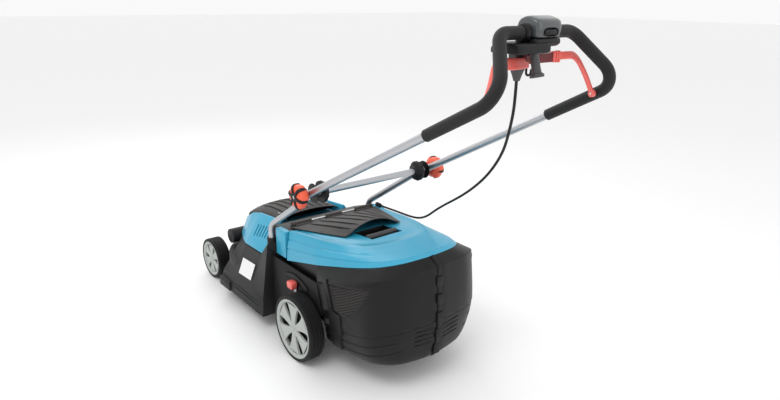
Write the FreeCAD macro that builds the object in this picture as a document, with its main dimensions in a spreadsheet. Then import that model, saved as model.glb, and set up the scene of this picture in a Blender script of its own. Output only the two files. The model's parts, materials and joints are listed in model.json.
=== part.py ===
"""Corded rotary lawn mower with a rear grass box, as separate pieces in one frame.

Frame: +X forward, +Y to the mower's left, +Z up, millimetres. The origin is on the
ground under the middle of the mower. Every size lives in the sheet "Sizes".
"""
import FreeCAD, Part
import math
import os
import Sketcher
from FreeCAD import Placement, Rotation, Vector

SIZES = [
    ("axle_offset", 32.0, "rear axle behind the origin"),
    ("wheelbase", 678.0, "rear axle to front axle"),
    ("rear_wheel", 200.0, "rear wheel diameter"),
    ("front_wheel", 150.0, "front wheel diameter"),
    ("tyre_width", 50.0, "width of all four tyres"),
    ("rear_track", 507.0, "outer face to outer face of the rear wheels"),
    ("front_track", 407.0, "outer face to outer face of the front wheels"),
    ("tyre_depth", 10.0, "tyre thickness over the rim"),
    ("rim_depth", 8.0, "depth of the wheel's rim"),
    ("hub_radius", 17.0, "wheel hub"),
    ("axle_diameter", 12.0, "both axles"),
    ("running_gap", 0.05, "radial clearance of a shaft in its hole"),
    ("side_gap", 1.2, "sideways gap between a turning piece and its neighbour"),
    ("plate_gap", 1.0, "gap between the toothed discs and the upper handle"),
    ("crank_reach", 62.0, "axle to its crank pivot, along X"),
    ("crank_rise", 5.0, "crank pivot above its axle"),
    ("crank_plate", 3.2, "thickness of the crank plates"),
    ("pivot_pin", 11.0, "diameter of the crank pivots"),
    ("lever_reach", 106.0, "height knob above the rear crank pivot"),
    ("skirt_height", 50.0, "lower edge of the deck above the ground"),
    ("deck_wall", 4.0, "deck moulding thickness"),
    ("chamber_x", 395.0, "blade axis ahead of the origin"),
    ("chamber_radius", 214.0, "inside radius of the blade chamber"),
    ("chamber_top", 150.0, "inside top of the blade chamber"),
    ("bracket_side", 192.0, "inner face of the rear brackets from the middle"),
    ("bracket_wall", 5.0, "thickness of the rear brackets"),
    ("shell_wall", 3.0, "thickness of covers, lid and grass box"),
    ("blade_length", 410.0, "tip to tip"),
    ("blade_width", 52.0, "blade width"),
    ("blade_wall", 3.0, "blade thickness"),
    ("blade_height", 66.0, "underside of the blade above the ground"),
    ("shaft_diameter", 16.0, "motor shaft"),
    ("bearing_diameter", 35.0, "outside of the shaft bearings"),
    ("bearing_width", 11.0, "bearing width"),
    ("motor_diameter", 124.0, "motor can"),
    ("motor_height", 104.0, "motor can"),
    ("motor_wall", 3.0, "motor can thickness"),
    ("tube_diameter", 20.0, "handle tubes"),
    ("tube_wall", 1.4, "handle tube wall"),
    ("leg_side", 188.0, "centre of a lower tube from the middle"),
    ("leg_foot_x", 182.0, "lower tube's foot"),
    ("leg_bend_z", 345.0, "bend of the lower tube"),
    ("pivot_x", -84.0, "handle fold axis"),
    ("pivot_z", 517.0, "handle fold axis"),
    ("clutch_wall", 4.0, "toothed disc between the tubes"),
    ("clamp_bolt", 8.0, "clamp bolt diameter"),
    ("knob_diameter", 70.0, "clamp knobs"),
    ("knob_width", 38.0, "clamp knobs along their axis"),
    ("grip_diameter", 27.0, "foam grip"),
    ("corner_side", 194.0, "handle's rear corners from the middle"),
    ("corner_x", -708.0, "handle's rear corners"),
    ("corner_z", 851.0, "handle's rear corners"),
    ("bar_side", 116.0, "crossbar corners from the middle"),
    ("bar_x", -626.0, "crossbar"),
    ("bar_z", 956.0, "crossbar"),
    ("grip_start_x", -522.0, "front end of the foam grip"),
    ("bend_radius", 48.0, "handle bends"),
    ("bail_x", -652.0, "bail pivot"),
    ("bail_rod", 9.0, "bail rod diameter"),
    ("bail_pin", 5.0, "bail pivot pins"),
    ("lid_front_x", 90.0, "front face of the grass box lid"),
    ("rim_front_z", 258.0, "grass box rim at the lid's front face"),
    ("rim_slope", 0.262, "rise of the rim per unit towards the rear"),
    ("lid_front_z", 350.0, "lid's top at its front face"),
    ("lid_slope", 0.09, "rise of the lid's top per unit towards the rear"),
    ("box_side", 200.0, "grass box half width"),
    ("box_floor", 68.0, "underside of the grass box"),
    ("duct_side", 182.0, "half width of the grass box's neck"),
    ("duct_floor", 130.0, "underside of the grass box's neck"),
    ("flap_hinge_x", 118.0, "flap hinge axis"),
    ("flap_hinge_z", 356.0, "flap hinge axis"),
    ("flap_rear_x", -92.0, "rear edge of the flap"),
    ("flap_side", 163.0, "half width of the flap at its hinge"),
    ("flap_tail", 102.0, "half width of the flap at its rear edge"),
    ("flap_arch", 31.0, "height of the flap's arch at its rear edge"),
    ("cord_diameter", 6.6, "motor lead"),
]

doc = FreeCAD.newDocument("RotaryMower")
sheet = doc.addObject("Spreadsheet::Sheet", "Sizes")
for row, (alias, value, note) in enumerate(SIZES, start=1):
    sheet.set(f"A{row}", alias)
    sheet.set(f"B{row}", str(value))
    sheet.set(f"C{row}", note)
    sheet.setAlias(f"B{row}", alias)
doc.recompute()


class Size:
    """A number that remembers the sheet expression it comes from."""

    def __init__(self, value, text):
        self.value = float(value)
        self.text = text

    def __float__(self):
        return self.value

    def joined(self, sign, other, value):
        return Size(value, f"({self.text} {sign} {as_size(other).text})")

    def __add__(self, other):
        return self.joined("+", other, self.value + float(other))

    def __sub__(self, other):
        return self.joined("-", other, self.value - float(other))

    def __mul__(self, other):
        return self.joined("*", other, self.value * float(other))

    def __truediv__(self, other):
        return self.joined("/", other, self.value / float(other))

    def __radd__(self, other):
        return as_size(other) + self

    def __rsub__(self, other):
        return as_size(other) - self

    def __rmul__(self, other):
        return as_size(other) * self

    def __neg__(self):
        return as_size(0.0) - self


def as_size(value):
    return value if isinstance(value, Size) else Size(value, repr(float(value)))


class Sizes:
    """The sheet's cells by name."""


s = Sizes()
for alias, value, note in SIZES:
    setattr(s, alias, Size(sheet.get(alias), f"Sizes.{alias}"))

NODES = []
LEFT_AND_RIGHT = (("left", 1.0), ("right", -1.0))
ALONG_Y = Vector(0, 1, 0)
UP = Vector(0, 0, 1)


def vec(x, y, z):
    return Vector(float(x), float(y), float(z))


def keep(obj, label):
    """Name a finished sub-part and list it for export."""
    obj.Label = label
    NODES.append(obj)
    return obj


def facing(start, direction):
    return Placement(start, Rotation(UP, direction))


def bind(obj, name, value):
    obj.setExpression(name, as_size(value).text)


# ---- features of the document -------------------------------------------------


def cylinder(name, radius, length, start, direction=UP):
    obj = doc.addObject("Part::Cylinder", name)
    bind(obj, "Radius", radius)
    bind(obj, "Height", length)
    obj.Placement = facing(start, direction)
    return obj


def block(name, low, length, width, height):
    obj = doc.addObject("Part::Box", name)
    bind(obj, "Length", length)
    bind(obj, "Width", width)
    bind(obj, "Height", height)
    obj.Placement = Placement(low, Rotation())
    return obj


def cut(name, base, tool):
    obj = doc.addObject("Part::Cut", name)
    obj.Base = base
    obj.Tool = tool
    return obj


def fuse(name, pieces):
    obj = doc.addObject("Part::MultiFuse", name)
    obj.Shapes = pieces
    return obj


def group(name, pieces):
    """Identical loose pieces as one node."""
    obj = doc.addObject("Part::Compound", name)
    obj.Links = pieces
    return obj


def plane_of(body, role):
    return [item for item in body.Origin.OriginFeatures if item.Role == role][0]


def sketch_outline(body, name, role, points):
    """A closed outline of straight lines whose corners are bound to the sheet."""
    sketch = body.newObject("Sketcher::SketchObject", name)
    sketch.AttachmentSupport = [(plane_of(body, role), "")]
    sketch.MapMode = "FlatFace"
    corners = [vec(x, y, 0) for x, y in points]
    count = len(corners)
    for index in range(count):
        sketch.addGeometry(Part.LineSegment(corners[index], corners[(index + 1) % count]), False)
    for index in range(count):
        sketch.addConstraint(Sketcher.Constraint("Coincident", index, 2, (index + 1) % count, 1))
    for index, pair in enumerate(points):
        for kind, value in zip(("DistanceX", "DistanceY"), pair):
            number = sketch.addConstraint(Sketcher.Constraint(kind, -1, 1, index, 1, float(value)))
            bind(sketch, f"Constraints[{number}]", value)
    return sketch


def turned_body(name, outline, start, direction):
    """A body revolved about its own Z; the outline is (radius, height)."""
    body = doc.addObject("PartDesign::Body", name)
    sketch = sketch_outline(body, name + "_profile", "XZ_Plane", outline)
    turn = body.newObject("PartDesign::Revolution", name + "_turn")
    turn.Profile = sketch
    turn.ReferenceAxis = (sketch, ["V_Axis"])
    turn.Angle = 360.0
    body.Placement = facing(start, direction)
    return body


def padded_body(name, role, outline, length, placement):
    """A body padded from an outline on one of its own planes."""
    body = doc.addObject("PartDesign::Body", name)
    sketch = sketch_outline(body, name + "_profile", role, outline)
    pad = body.newObject("PartDesign::Pad", name + "_pad")
    pad.Profile = sketch
    bind(pad, "Length", length)
    body.Placement = placement
    return body


def pocket_ring(body, name, outline, count):
    """Cut an outline through the body from its XY plane upwards, count times around Z."""
    doc.recompute()
    before = body.Shape.Volume
    sketch = sketch_outline(body, name + "_outline", "XY_Plane", outline)
    pocket = body.newObject("PartDesign::Pocket", name)
    pocket.Profile = sketch
    pocket.Type = 1
    pocket.Reversed = True
    pattern = body.newObject("PartDesign::PolarPattern", name + "_ring")
    pattern.Originals = [pocket]
    pattern.Axis = (sketch, ["N_Axis"])
    pattern.Angle = 360.0
    pattern.Occurrences = count
    body.Tip = pattern
    doc.recompute()
    if body.Shape.Volume > before - 1.0:
        raise RuntimeError(f"{name} cut nothing")


def made(label, shape):
    """A sub-part whose shape comes from Part's functions."""
    obj = doc.addObject("Part::Feature", label)
    obj.Shape = shape
    return keep(obj, label)


# ---- shapes for moulded and bent pieces ----------------------------------------


def polygon(points):
    return Part.makePolygon([vec(*point) for point in points] + [vec(*points[0])])


def loft(outlines):
    return Part.makeLoft([polygon(points) for points in outlines], True, True)


def both_sides(x, half):
    """A YZ outline at x from its left half, mirrored."""
    return [(x, y, z) for y, z in half] + [(x, -float(y), z) for y, z in reversed(half)]


def solid_box(low, high):
    size = vec(*high) - vec(*low)
    return Part.makeBox(size.x, size.y, size.z, vec(*low))


def rod(start, end, radius):
    start = vec(*start)
    along = vec(*end) - start
    return Part.makeCylinder(float(radius), along.Length, start, along)


def route_wire(points, radii):
    """Straight runs joined by tangent arcs; radii has one value per inner point."""
    points = [vec(*point) for point in points]
    edges = []
    last = points[0]
    for index, radius in enumerate(radii, start=1):
        corner = points[index]
        back = (points[index - 1] - corner).normalize()
        ahead = (points[index + 1] - corner).normalize()
        half = back.getAngle(ahead) / 2
        reach = float(radius) / math.tan(half)
        middle = corner + (back + ahead).normalize() * (float(radius) / math.sin(half) - float(radius))
        edges.append(Part.makeLine(last, corner + back * reach))
        edges.append(Part.Arc(corner + back * reach, middle, corner + ahead * reach).toShape())
        last = corner + ahead * reach
    edges.append(Part.makeLine(last, points[-1]))
    return Part.Wire(edges)


def swept_rod(wire, radius):
    start = wire.Edges[0]
    at = start.valueAt(start.FirstParameter)
    along = start.tangentAt(start.FirstParameter)
    ring = Part.Wire(Part.makeCircle(float(radius), at, along))
    return wire.makePipeShell([ring], True, True)


def arch(x, half_width, edge_z, crest_z, wall):
    """A thin arch across the mower at x, as a closed outline."""
    steps = 10
    outer = []
    inner = []
    for step in range(steps + 1):
        turn = math.pi * step / steps
        rise = math.sin(turn)
        side = math.cos(turn)
        outer.append((x, side * half_width, edge_z + rise * (crest_z - edge_z)))
        inner.append((x, side * (half_width - wall), edge_z + rise * (crest_z - edge_z - wall)))
    return outer + inner[::-1]


# ---- places worked out from the sizes --------------------------------------------

rear_axle = vec(-s.axle_offset, 0, s.rear_wheel / 2)
front_axle = vec(s.wheelbase - s.axle_offset, 0, s.front_wheel / 2)
rear_pivot = rear_axle + vec(s.crank_reach, 0, s.crank_rise)
front_pivot = front_axle + vec(-s.crank_reach, 0, s.crank_rise)
chamber = vec(s.chamber_x, 0, 0)
handle_pivot = vec(s.pivot_x, 0, s.pivot_z)
handle_side = s.leg_side + s.tube_diameter + s.clutch_wall + s.plate_gap
plate_top = s.chamber_top + s.deck_wall
motor_radius = float(s.motor_diameter / 2)


def motor_screw_places():
    """Where the motor's four feet stand on the deck."""
    reach = motor_radius + 7.0
    turns = [math.radians(turn) for turn in (45, 135, 225, 315)]
    return [chamber + vec(reach * math.cos(turn), reach * math.sin(turn), plate_top) for turn in turns]


def rim_z(x):
    return float(s.rim_front_z) + float(s.rim_slope) * (float(s.lid_front_x) - x)


def lid_z(x):
    return float(s.lid_front_z) + float(s.lid_slope) * (float(s.lid_front_x) - x)


# ---- wheels ------------------------------------------------------------------------


def wheel(end, side, sign, diameter, track):
    """A spoked disc and its tyre; local Z points outwards."""
    name = f"{end}_{side}"
    radius = diameter / 2
    rim = radius - s.tyre_depth
    inner = rim - s.rim_depth
    bore = s.axle_diameter / 2 + s.running_gap
    web = s.tyre_width - 12.0
    start = vec(0, 1, 0) * (sign * float(track / 2 - s.tyre_width))
    start += rear_axle if end == "rear" else front_axle
    outward = ALONG_Y * sign
    disc = turned_body(f"wheel_{name}", [
        (bore, 0.0), (s.hub_radius, 0.0), (s.hub_radius + 3.0, web), (inner, web),
        (inner, 2.0), (rim, 2.0), (rim, s.tyre_width - 1.5), (rim - 3.0, s.tyre_width),
        (inner, web + 6.0), (s.hub_radius, web + 7.0), (0.0, web + 9.0), (0.0, web),
        (bore, web),
    ], start, outward)
    pocket_ring(disc, f"windows_{name}", [
        (s.hub_radius + 7.0, -3.0), (inner - 4.0, -inner * 0.27),
        (inner - 4.0, inner * 0.27), (s.hub_radius + 7.0, 3.0),
    ], 6)
    keep(disc, f"wheel_{name}")
    tyre = turned_body(f"tyre_{name}", [
        (rim, 2.0), (rim + 3.0, 0.0), (radius - 3.0, 0.0), (radius, 3.5),
        (radius, s.tyre_width - 3.5), (radius - 3.0, s.tyre_width - 0.5),
        (rim, s.tyre_width - 1.5),
    ], start, outward)
    keep(tyre, f"tyre_{name}")


for side, sign in LEFT_AND_RIGHT:
    wheel("rear", side, sign, s.rear_wheel, s.rear_track)
    wheel("front", side, sign, s.front_wheel, s.front_track)

# ---- axles and height adjuster -----------------------------------------------------


def axle_crank(end, axle, pivot, track, plate_in):
    """Axle rod, two crank plates and the two pivot pins, welded together."""
    reach = track / 2 - s.tyre_width + (s.tyre_width - 16.0)
    pieces = [cylinder(f"{end}_rod", s.axle_diameter / 2, reach * 2,
                       axle - ALONG_Y * float(reach), ALONG_Y)]
    ear = s.axle_diameter / 2 + 8.0
    for side, sign in LEFT_AND_RIGHT:
        low = float(plate_in) if sign > 0 else -float(plate_in + s.crank_plate)
        for part, at in (("axle_eye", axle), ("pivot_eye", pivot)):
            pieces.append(cylinder(f"{end}_{part}_{side}", ear, s.crank_plate,
                                   vec(at.x, low, at.z), ALONG_Y))
        along = pivot - axle
        pieces.append(padded_body(f"{end}_arm_{side}", "XY_Plane", [
            (0.0, -ear), (s.crank_reach, -ear), (s.crank_reach, ear), (0.0, ear),
        ], s.crank_plate, Placement(
            vec(axle.x, low + float(s.crank_plate), axle.z),
            Rotation(along, Vector(-along.z, 0, along.x), ALONG_Y * -1.0, "ZXY"))))
        inner = float(plate_in) - 10.0
        start = inner if sign > 0 else -float(plate_in + s.crank_plate)
        pieces.append(cylinder(f"{end}_pin_{side}", s.pivot_pin / 2, s.crank_plate + 10.0,
                               vec(pivot.x, start, pivot.z), ALONG_Y))
    return pieces


rear_plate_in = s.bracket_side + s.bracket_wall + s.side_gap
front_plate_in = s.front_track / 2 - s.tyre_width - s.side_gap * 2 - s.crank_plate
rear_pieces = axle_crank("rear", rear_axle, rear_pivot, s.rear_track, rear_plate_in)
lever_tip = s.lever_reach + 8.0
rear_pieces.append(block("lever_blade", rear_pivot + vec(-7, rear_plate_in, 0),
                         14.0, s.crank_plate, lever_tip))
keep(fuse("rear_crank_weld", rear_pieces), "rear_crank")
front_pieces = axle_crank("front", front_axle, front_pivot, s.front_track, front_plate_in)
keep(fuse("front_crank_weld", front_pieces), "front_crank")

knob_low = rear_pivot + vec(-15, rear_plate_in + s.crank_plate, s.lever_reach - 16.0)
height_knob = block("height_knob_blank", knob_low, 30.0, 20.0, 22.0)
keep(height_knob, "height_knob")


def notch_sector():
    """A toothed arc outside the left bracket, just beyond the lever's tip."""
    inner = float(lever_tip) + 2.0
    low = float(s.bracket_side + s.bracket_wall)
    ring = Part.makeCylinder(inner + 14.0, 6.0, vec(0, 0, 0), UP)
    ring = ring.cut(Part.makeCylinder(inner, 6.0, vec(0, 0, 0), UP))
    wedge = polygon([(0, 0, 0), (120, 240, 0), (-160, 240, 0)])
    ring = ring.common(Part.Face(wedge).extrude(UP * 6.0))
    for step in range(6):
        turn = math.radians(70.0 + 9.0 * step)
        notch = Part.makeCylinder(3.2, 6.0, vec(math.cos(turn) * inner, math.sin(turn) * inner, 0), UP)
        ring = ring.cut(notch)
    ring.Placement = Placement(vec(rear_pivot.x, low + 6.0, rear_pivot.z),
                               Rotation(Vector(1, 0, 0), 90.0))
    return ring


made("notch_sector", notch_sector())

# ---- deck ---------------------------------------------------------------------------

DECK_SECTIONS = [
    (165, [(243, 50), (238, 120), (214, 292), (150, 298)]),
    (250, [(243, 50), (238, 115), (195, 224), (140, 250)]),
    (371, [(242, 50), (236, 110), (189, 219), (120, 240)]),
    (474, [(240, 50), (228, 100), (150, 200), (100, 228)]),
    (530, [(175, 50), (170, 100), (125, 192), (90, 215)]),
    (600, [(118, 60), (116, 105), (100, 165), (60, 180)]),
]


def deck_solid(wall):
    """The deck's outer form, or the space inside a wall of the given thickness."""
    rear = DECK_SECTIONS[0][0]
    front = DECK_SECTIONS[-1][0]
    outlines = []
    for x, half in DECK_SECTIONS:
        x = min(max(x, rear + wall), front - wall)
        points = [(y - wall, z - wall * 0.6) for y, z in half]
        points[0] = (points[0][0], half[0][1] - (10.0 if wall else 0.0))
        points[-1] = (half[-1][0], half[-1][1] - wall)
        outlines.append(both_sides(x, points))
    return loft(outlines)


def tunnel_solid(wall, reach):
    """Discharge tunnel from the blade chamber up to the grass box's neck."""
    near = [(112 + wall, 78 - wall), (112 + wall, 148 + wall)]
    far = [(150 + wall, 150 - wall), (150 + wall, 246 + wall)]
    front_x = 232
    rear_x = float(s.lid_front_x) + 2.0
    rear_z = [(y, z + (z - z0) * reach / 140.0) for (y, z), (y0, z0) in zip(far, near)]
    return loft([both_sides(front_x, near), both_sides(rear_x - reach, rear_z)])


def front_ear(sign):
    low = float(front_plate_in - s.side_gap) - 6.0
    start = low if sign > 0 else -low - 6.0
    outline = [(front_pivot.x - 36, start, 58), (front_pivot.x + 12, start, front_pivot.z - 12),
               (front_pivot.x + 12, start, front_pivot.z + 12), (front_pivot.x - 36, start, 128)]
    return Part.Face(polygon(outline)).extrude(ALONG_Y * 6.0)


def rear_bracket(sign):
    low = float(s.bracket_side)
    start = low if sign > 0 else -low - float(s.bracket_wall)
    top = float(s.rim_front_z) - 8.0
    eye = rear_pivot
    outline = [(168, start, 60), (168, start, top), (-84, start, top), (-108, start, 160),
               (-60, start, 142), (eye.x - 22, start, 130), (eye.x - 22, start, eye.z - 18),
               (eye.x + 24, start, eye.z - 18), (110, start, 60)]
    return Part.Face(polygon(outline)).extrude(ALONG_Y * float(s.bracket_wall))


def deck_housing():
    bottom = float(s.skirt_height)
    ring_out = float(s.chamber_radius + s.deck_wall)
    top = float(plate_top)
    drum = Part.makeCylinder(ring_out, top - bottom, chamber + UP * bottom, UP)
    outer = deck_solid(0.0).fuse(drum)
    hollow = deck_solid(float(s.deck_wall))
    hollow = hollow.cut(Part.makeCylinder(ring_out, top - bottom + 1.0,
                                          chamber + UP * (bottom - 1.0), UP))
    shape = outer.cut(hollow)
    pieces = [tunnel_solid(float(s.deck_wall), 0.0)]
    tube_radius = float(s.tube_diameter / 2)
    for side, sign in LEFT_AND_RIGHT:
        lip_y = 232 if sign > 0 else -245
        pieces.append(solid_box((399, lip_y, bottom), (474, lip_y + 13, bottom + 32)))
        pieces.append(front_ear(sign))
        pieces.append(rear_bracket(sign))
        foot = vec(s.leg_foot_x, sign * float(s.leg_side), 216)
        pieces.append(Part.makeCylinder(tube_radius + 5.0, 88.0, foot, UP))
        dome_low = 100 if sign > 0 else -160
        pieces.append(Part.makeCylinder(26, 60, vec(548, dome_low, 186), ALONG_Y))
    shape = shape.fuse(pieces)
    shape = shape.cut(tunnel_solid(0.0, 20.0))
    shape = shape.cut(Part.makeCylinder(float(s.chamber_radius), float(s.chamber_top) - bottom + 10.0,
                                        chamber + UP * (bottom - 10.0), UP))
    shape = shape.cut(Part.makeCylinder(float(s.bearing_diameter / 2), 40,
                                        chamber + UP * (bottom + 80.0), UP))
    for side, sign in LEFT_AND_RIGHT:
        foot = vec(s.leg_foot_x, sign * float(s.leg_side), 222)
        shape = shape.cut(Part.makeCylinder(tube_radius + float(s.running_gap), 100, foot, UP))
    shape = shape.cut(Part.makeCylinder(motor_radius + 16.0, 200, chamber + UP * float(plate_top), UP))
    for at in motor_screw_places():
        shape = shape.cut(Part.makeCylinder(3.05, 20, at - UP * 10, UP))
    for pivot in (rear_pivot, front_pivot):
        shape = shape.cut(rod((pivot.x, -215, pivot.z), (pivot.x, 215, pivot.z),
                              s.pivot_pin / 2 + s.running_gap))
    return shape


made("deck_housing", deck_housing())


def thin_cover(sections, wall):
    """A cover with sloping flanks and a sunken top, from (x, foot, shoulder, top) sections."""
    outlines = []
    for x, foot, shoulder, top in sections:
        (foot_y, foot_z), (side_y, side_z) = foot, shoulder
        outlines.append(both_sides(x, [
            (foot_y, foot_z), (side_y, side_z), (side_y - 6, side_z), (side_y - 10, top),
        ]) + both_sides(x, [(foot_y - wall, foot_z), (side_y - 14, top - wall)])[::-1])
    return loft(outlines)


COVER_SECTIONS = [
    (239, (193, 229), (128, 330), 300),
    (371, (188, 223), (128, 318), 292),
    (434, (166, 214), (125, 300), 280),
    (510, (134, 206), (108, 262), 246),
]
made("motor_cover", thin_cover(COVER_SECTIONS, float(s.shell_wall)).cut(deck_solid(0.0)))

HOOD_SECTIONS = [
    (256, 116, 316, 338), (320, 117, 312, 341), (389, 115, 306, 335),
    (480, 100, 286, 309), (545, 84, 258, 276), (590, 68, 222, 238), (606, 56, 192, 206),
]
made("motor_hood", loft([arch(*section, float(s.shell_wall)) for section in HOOD_SECTIONS]))


def rear_cowl():
    """The hollow top between the motor cover and the grass box, which carries the flap."""
    wall = float(s.shell_wall)
    rear = float(s.lid_front_x) + 5.0
    side = 170.0
    outer = [(rear, side, 262), (rear, side, 345), (150, side, 347), (238, side, 318),
             (238, side, 302), (172, side, 302), (160, side, 262)]
    inner = [(rear + wall, side, 261), (rear + wall, side, 342), (149, side, 344),
             (235, side, 315), (235, side, 301), (168, side, 301), (157, side, 261)]
    shape = Part.Face(polygon(outer)).extrude(ALONG_Y * (-2 * side))
    hollow = Part.Face(polygon(inner)).extrude(ALONG_Y * (-2 * side))
    shape = shape.cut(hollow.common(solid_box((0, wall - side, 0), (400, side - wall, 400))))
    hinge = (float(s.flap_hinge_x), float(s.flap_hinge_z))
    for y in (-154, 148):
        lug = solid_box((hinge[0] - 7, y, 344), (hinge[0] + 7, y + 6, hinge[1]))
        lug = lug.fuse(Part.makeCylinder(7, 6, vec(hinge[0], y, hinge[1]), ALONG_Y))
        shape = shape.fuse(lug)
    hole = rod((hinge[0], -160, hinge[1]), (hinge[0], 160, hinge[1]), 3.0)
    return shape.cut([hole, deck_solid(0.0), tunnel_solid(float(s.deck_wall), 0.0)])


made("rear_cowl", rear_cowl())


def rear_trim(sign):
    low = float(s.lid_front_x) + 6.0
    y = 170.2
    depth = 20.0
    outer = solid_box((low, y, 262), (low + 56, y + depth, 346))
    shape = outer.cut(solid_box((low + 3, y - 1, 261), (low + 53, y + depth - 3, 343)))
    return shape if sign > 0 else shape.mirror(Vector(), ALONG_Y)


made("rear_trims", Part.makeCompound([rear_trim(1.0), rear_trim(-1.0)]))


def label_plate():
    """A blank information label on the left flank of the deck."""
    low_rear = vec(262, 229.0, 137)
    along = vec(90, -2.6, -6)
    rise = vec(0, -20.0, 50)
    outward = rise.cross(along).normalize()
    start = low_rear + outward * 2.0
    corners = [start, start + along, start + along + rise, start + rise]
    return Part.Face(polygon(corners)).extrude(outward * 0.5)


made("label_plate", label_plate())

# ---- motor and blade ------------------------------------------------------------------

motor_low = float(plate_top)
motor_top = motor_low + float(s.motor_height)
shaft_radius = float(s.shaft_diameter / 2)
bearing_radius = float(s.bearing_diameter / 2)


def motor_can():
    can = Part.makeCylinder(motor_radius, float(s.motor_height), chamber + UP * motor_low, UP)
    wall = float(s.motor_wall)
    can = can.cut(Part.makeCylinder(motor_radius - wall, float(s.motor_height) - 2 * wall - 10.0,
                                    chamber + UP * (motor_low + 5.0 + wall), UP))
    for low in (motor_low, motor_top - float(s.bearing_width)):
        can = can.cut(Part.makeCylinder(bearing_radius, float(s.bearing_width),
                                        chamber + UP * low, UP))
    can = can.cut(Part.makeCylinder(shaft_radius + 2.0, float(s.motor_height) + 2.0,
                                    chamber + UP * (motor_low - 1.0), UP))
    for at in motor_screw_places():
        foot = Part.makeCylinder(9, 8, at, UP)
        inside = Part.makeCylinder(motor_radius - wall / 2, 8, chamber + UP * motor_low, UP)
        can = can.fuse(foot.cut(inside)).cut(Part.makeCylinder(3.05, 8, at, UP))
    return can


made("motor_can", motor_can())
stator = cut("stator_stack", cylinder("stator_outside", s.motor_diameter / 2 - s.motor_wall, 56.0,
                                      chamber + UP * (motor_low + 22.0)),
             cylinder("stator_bore", 31.0, 60.0, chamber + UP * (motor_low + 20.0)))
keep(stator, "stator")
rotor = cut("rotor_stack", cylinder("rotor_outside", 30.4, 58.0, chamber + UP * (motor_low + 21.0)),
            cylinder("rotor_bore", s.shaft_diameter / 2, 60.0, chamber + UP * (motor_low + 20.0)))
keep(rotor, "rotor")
shaft_low = s.blade_height + s.blade_wall + 13.0
keep(cylinder("motor_shaft_bar", s.shaft_diameter / 2, plate_top + s.motor_height + 18.0 - shaft_low,
              chamber + UP * float(shaft_low)), "motor_shaft")
bearings = []
for label, low in (("lower_bearing", motor_low), ("upper_bearing", motor_top - float(s.bearing_width))):
    bearings.append(cut(
        label + "_ring",
        cylinder(label + "_outside", s.bearing_diameter / 2, s.bearing_width, chamber + UP * low),
        cylinder(label + "_bore", s.shaft_diameter / 2 + s.running_gap, s.bearing_width,
                 chamber + UP * low)))
keep(group("bearing_pair", bearings), "shaft_bearings")


def cooling_fan():
    hub = Part.makeCylinder(18, 10, chamber + UP * (motor_top + 3.0), UP)
    for step in range(8):
        vane = Part.makeBox(34, 2.4, 10, vec(15, -1.2, 0))
        vane.Placement = Placement(chamber + UP * (motor_top + 3.0), Rotation(UP, 45.0 * step))
        hub = hub.fuse(vane)
    return hub.cut(Part.makeCylinder(shaft_radius, 12, chamber + UP * (motor_top + 2.0), UP))


made("cooling_fan", cooling_fan())
blade_top = float(s.blade_height + s.blade_wall)
adapter = turned_body("blade_adapter_turned", [
    (s.shaft_diameter / 2, 13.0), (18.0, 13.0), (18.0, 40.0), (s.shaft_diameter / 2, 40.0),
], chamber + UP * (blade_top), UP)
adapter_plate = cylinder("blade_adapter_plate", 28.0, 13.0, chamber + UP * blade_top)
adapter_screw = cylinder("blade_adapter_screw", 5.0, 13.0, chamber + UP * blade_top)
keep(fuse("blade_adapter_joined", [adapter, cut("blade_adapter_flange", adapter_plate, adapter_screw)]),
     "blade_adapter")


def mower_blade():
    half = float(s.blade_length / 2)
    wide = float(s.blade_width / 2)
    bar = solid_box((-half, -wide, 0), (half, wide, s.blade_wall))
    bar = bar.common(Part.makeCylinder(half, 10, vec(0, 0, 0), UP))
    for turn in (0.0, 180.0):
        wing = Part.Face(polygon([(half - 60, wide - 14, 0), (half - 60, wide, 14),
                                  (half - 60, wide, 14 + float(s.blade_wall)),
                                  (half - 60, wide - 14, s.blade_wall)])).extrude(Vector(48, 0, 0))
        wing.rotate(Vector(), UP, turn)
        bar = bar.fuse(wing)
    bar = bar.cut(Part.makeCylinder(5.1, 20, vec(0, 0, -5), UP))
    bar.Placement = Placement(chamber + UP * float(s.blade_height), Rotation(UP, 25.0))
    return bar


made("blade", mower_blade())
keep(turned_body("blade_bolt_turned", [
    (0.0, -10.0), (8.0, -10.0), (9.0, -3.0), (16.0, -3.0), (16.0, 0.0), (5.0, 0.0),
    (5.0, s.blade_wall + 12.0), (0.0, s.blade_wall + 12.0),
], chamber + UP * float(s.blade_height), UP), "blade_bolt")
motor_screws = []
for at in motor_screw_places():
    motor_screws.append(turned_body(f"motor_screw_{len(motor_screws)}", [
        (0.0, -8.0 - s.deck_wall), (3.0, -8.0 - s.deck_wall), (3.0, 0.0), (5.5, 0.0), (5.5, 4.0),
        (0.0, 4.0),
    ], at + UP * 8.0, UP))
keep(group("motor_screw_set", motor_screws), "motor_screws")
keep(cylinder("run_capacitor_can", 17.0, 62.0, vec(300, 62, plate_top + 20.0), UP), "run_capacitor")
keep(block("terminal_board_block", vec(286, -80, plate_top + 24.0), 36.0, 44.0, 22.0),
     "terminal_board")

# ---- handles --------------------------------------------------------------------------

tube_radius = float(s.tube_diameter / 2)
bore_radius = tube_radius - float(s.tube_wall)
bolt_radius = float(s.clamp_bolt / 2)


def lower_tube(sign):
    side = sign * float(s.leg_side)
    points = [(s.leg_foot_x, side, 222), (s.leg_foot_x, side, s.leg_bend_z),
              (s.pivot_x - 8.0, side, s.pivot_z + 5.0)]
    wire = route_wire(points, [45.0])
    tube = swept_rod(wire, tube_radius).cut(swept_rod(wire, bore_radius))
    return tube.cut(rod((s.pivot_x, side - 20, s.pivot_z), (s.pivot_x, side + 20, s.pivot_z),
                        bolt_radius))


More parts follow.
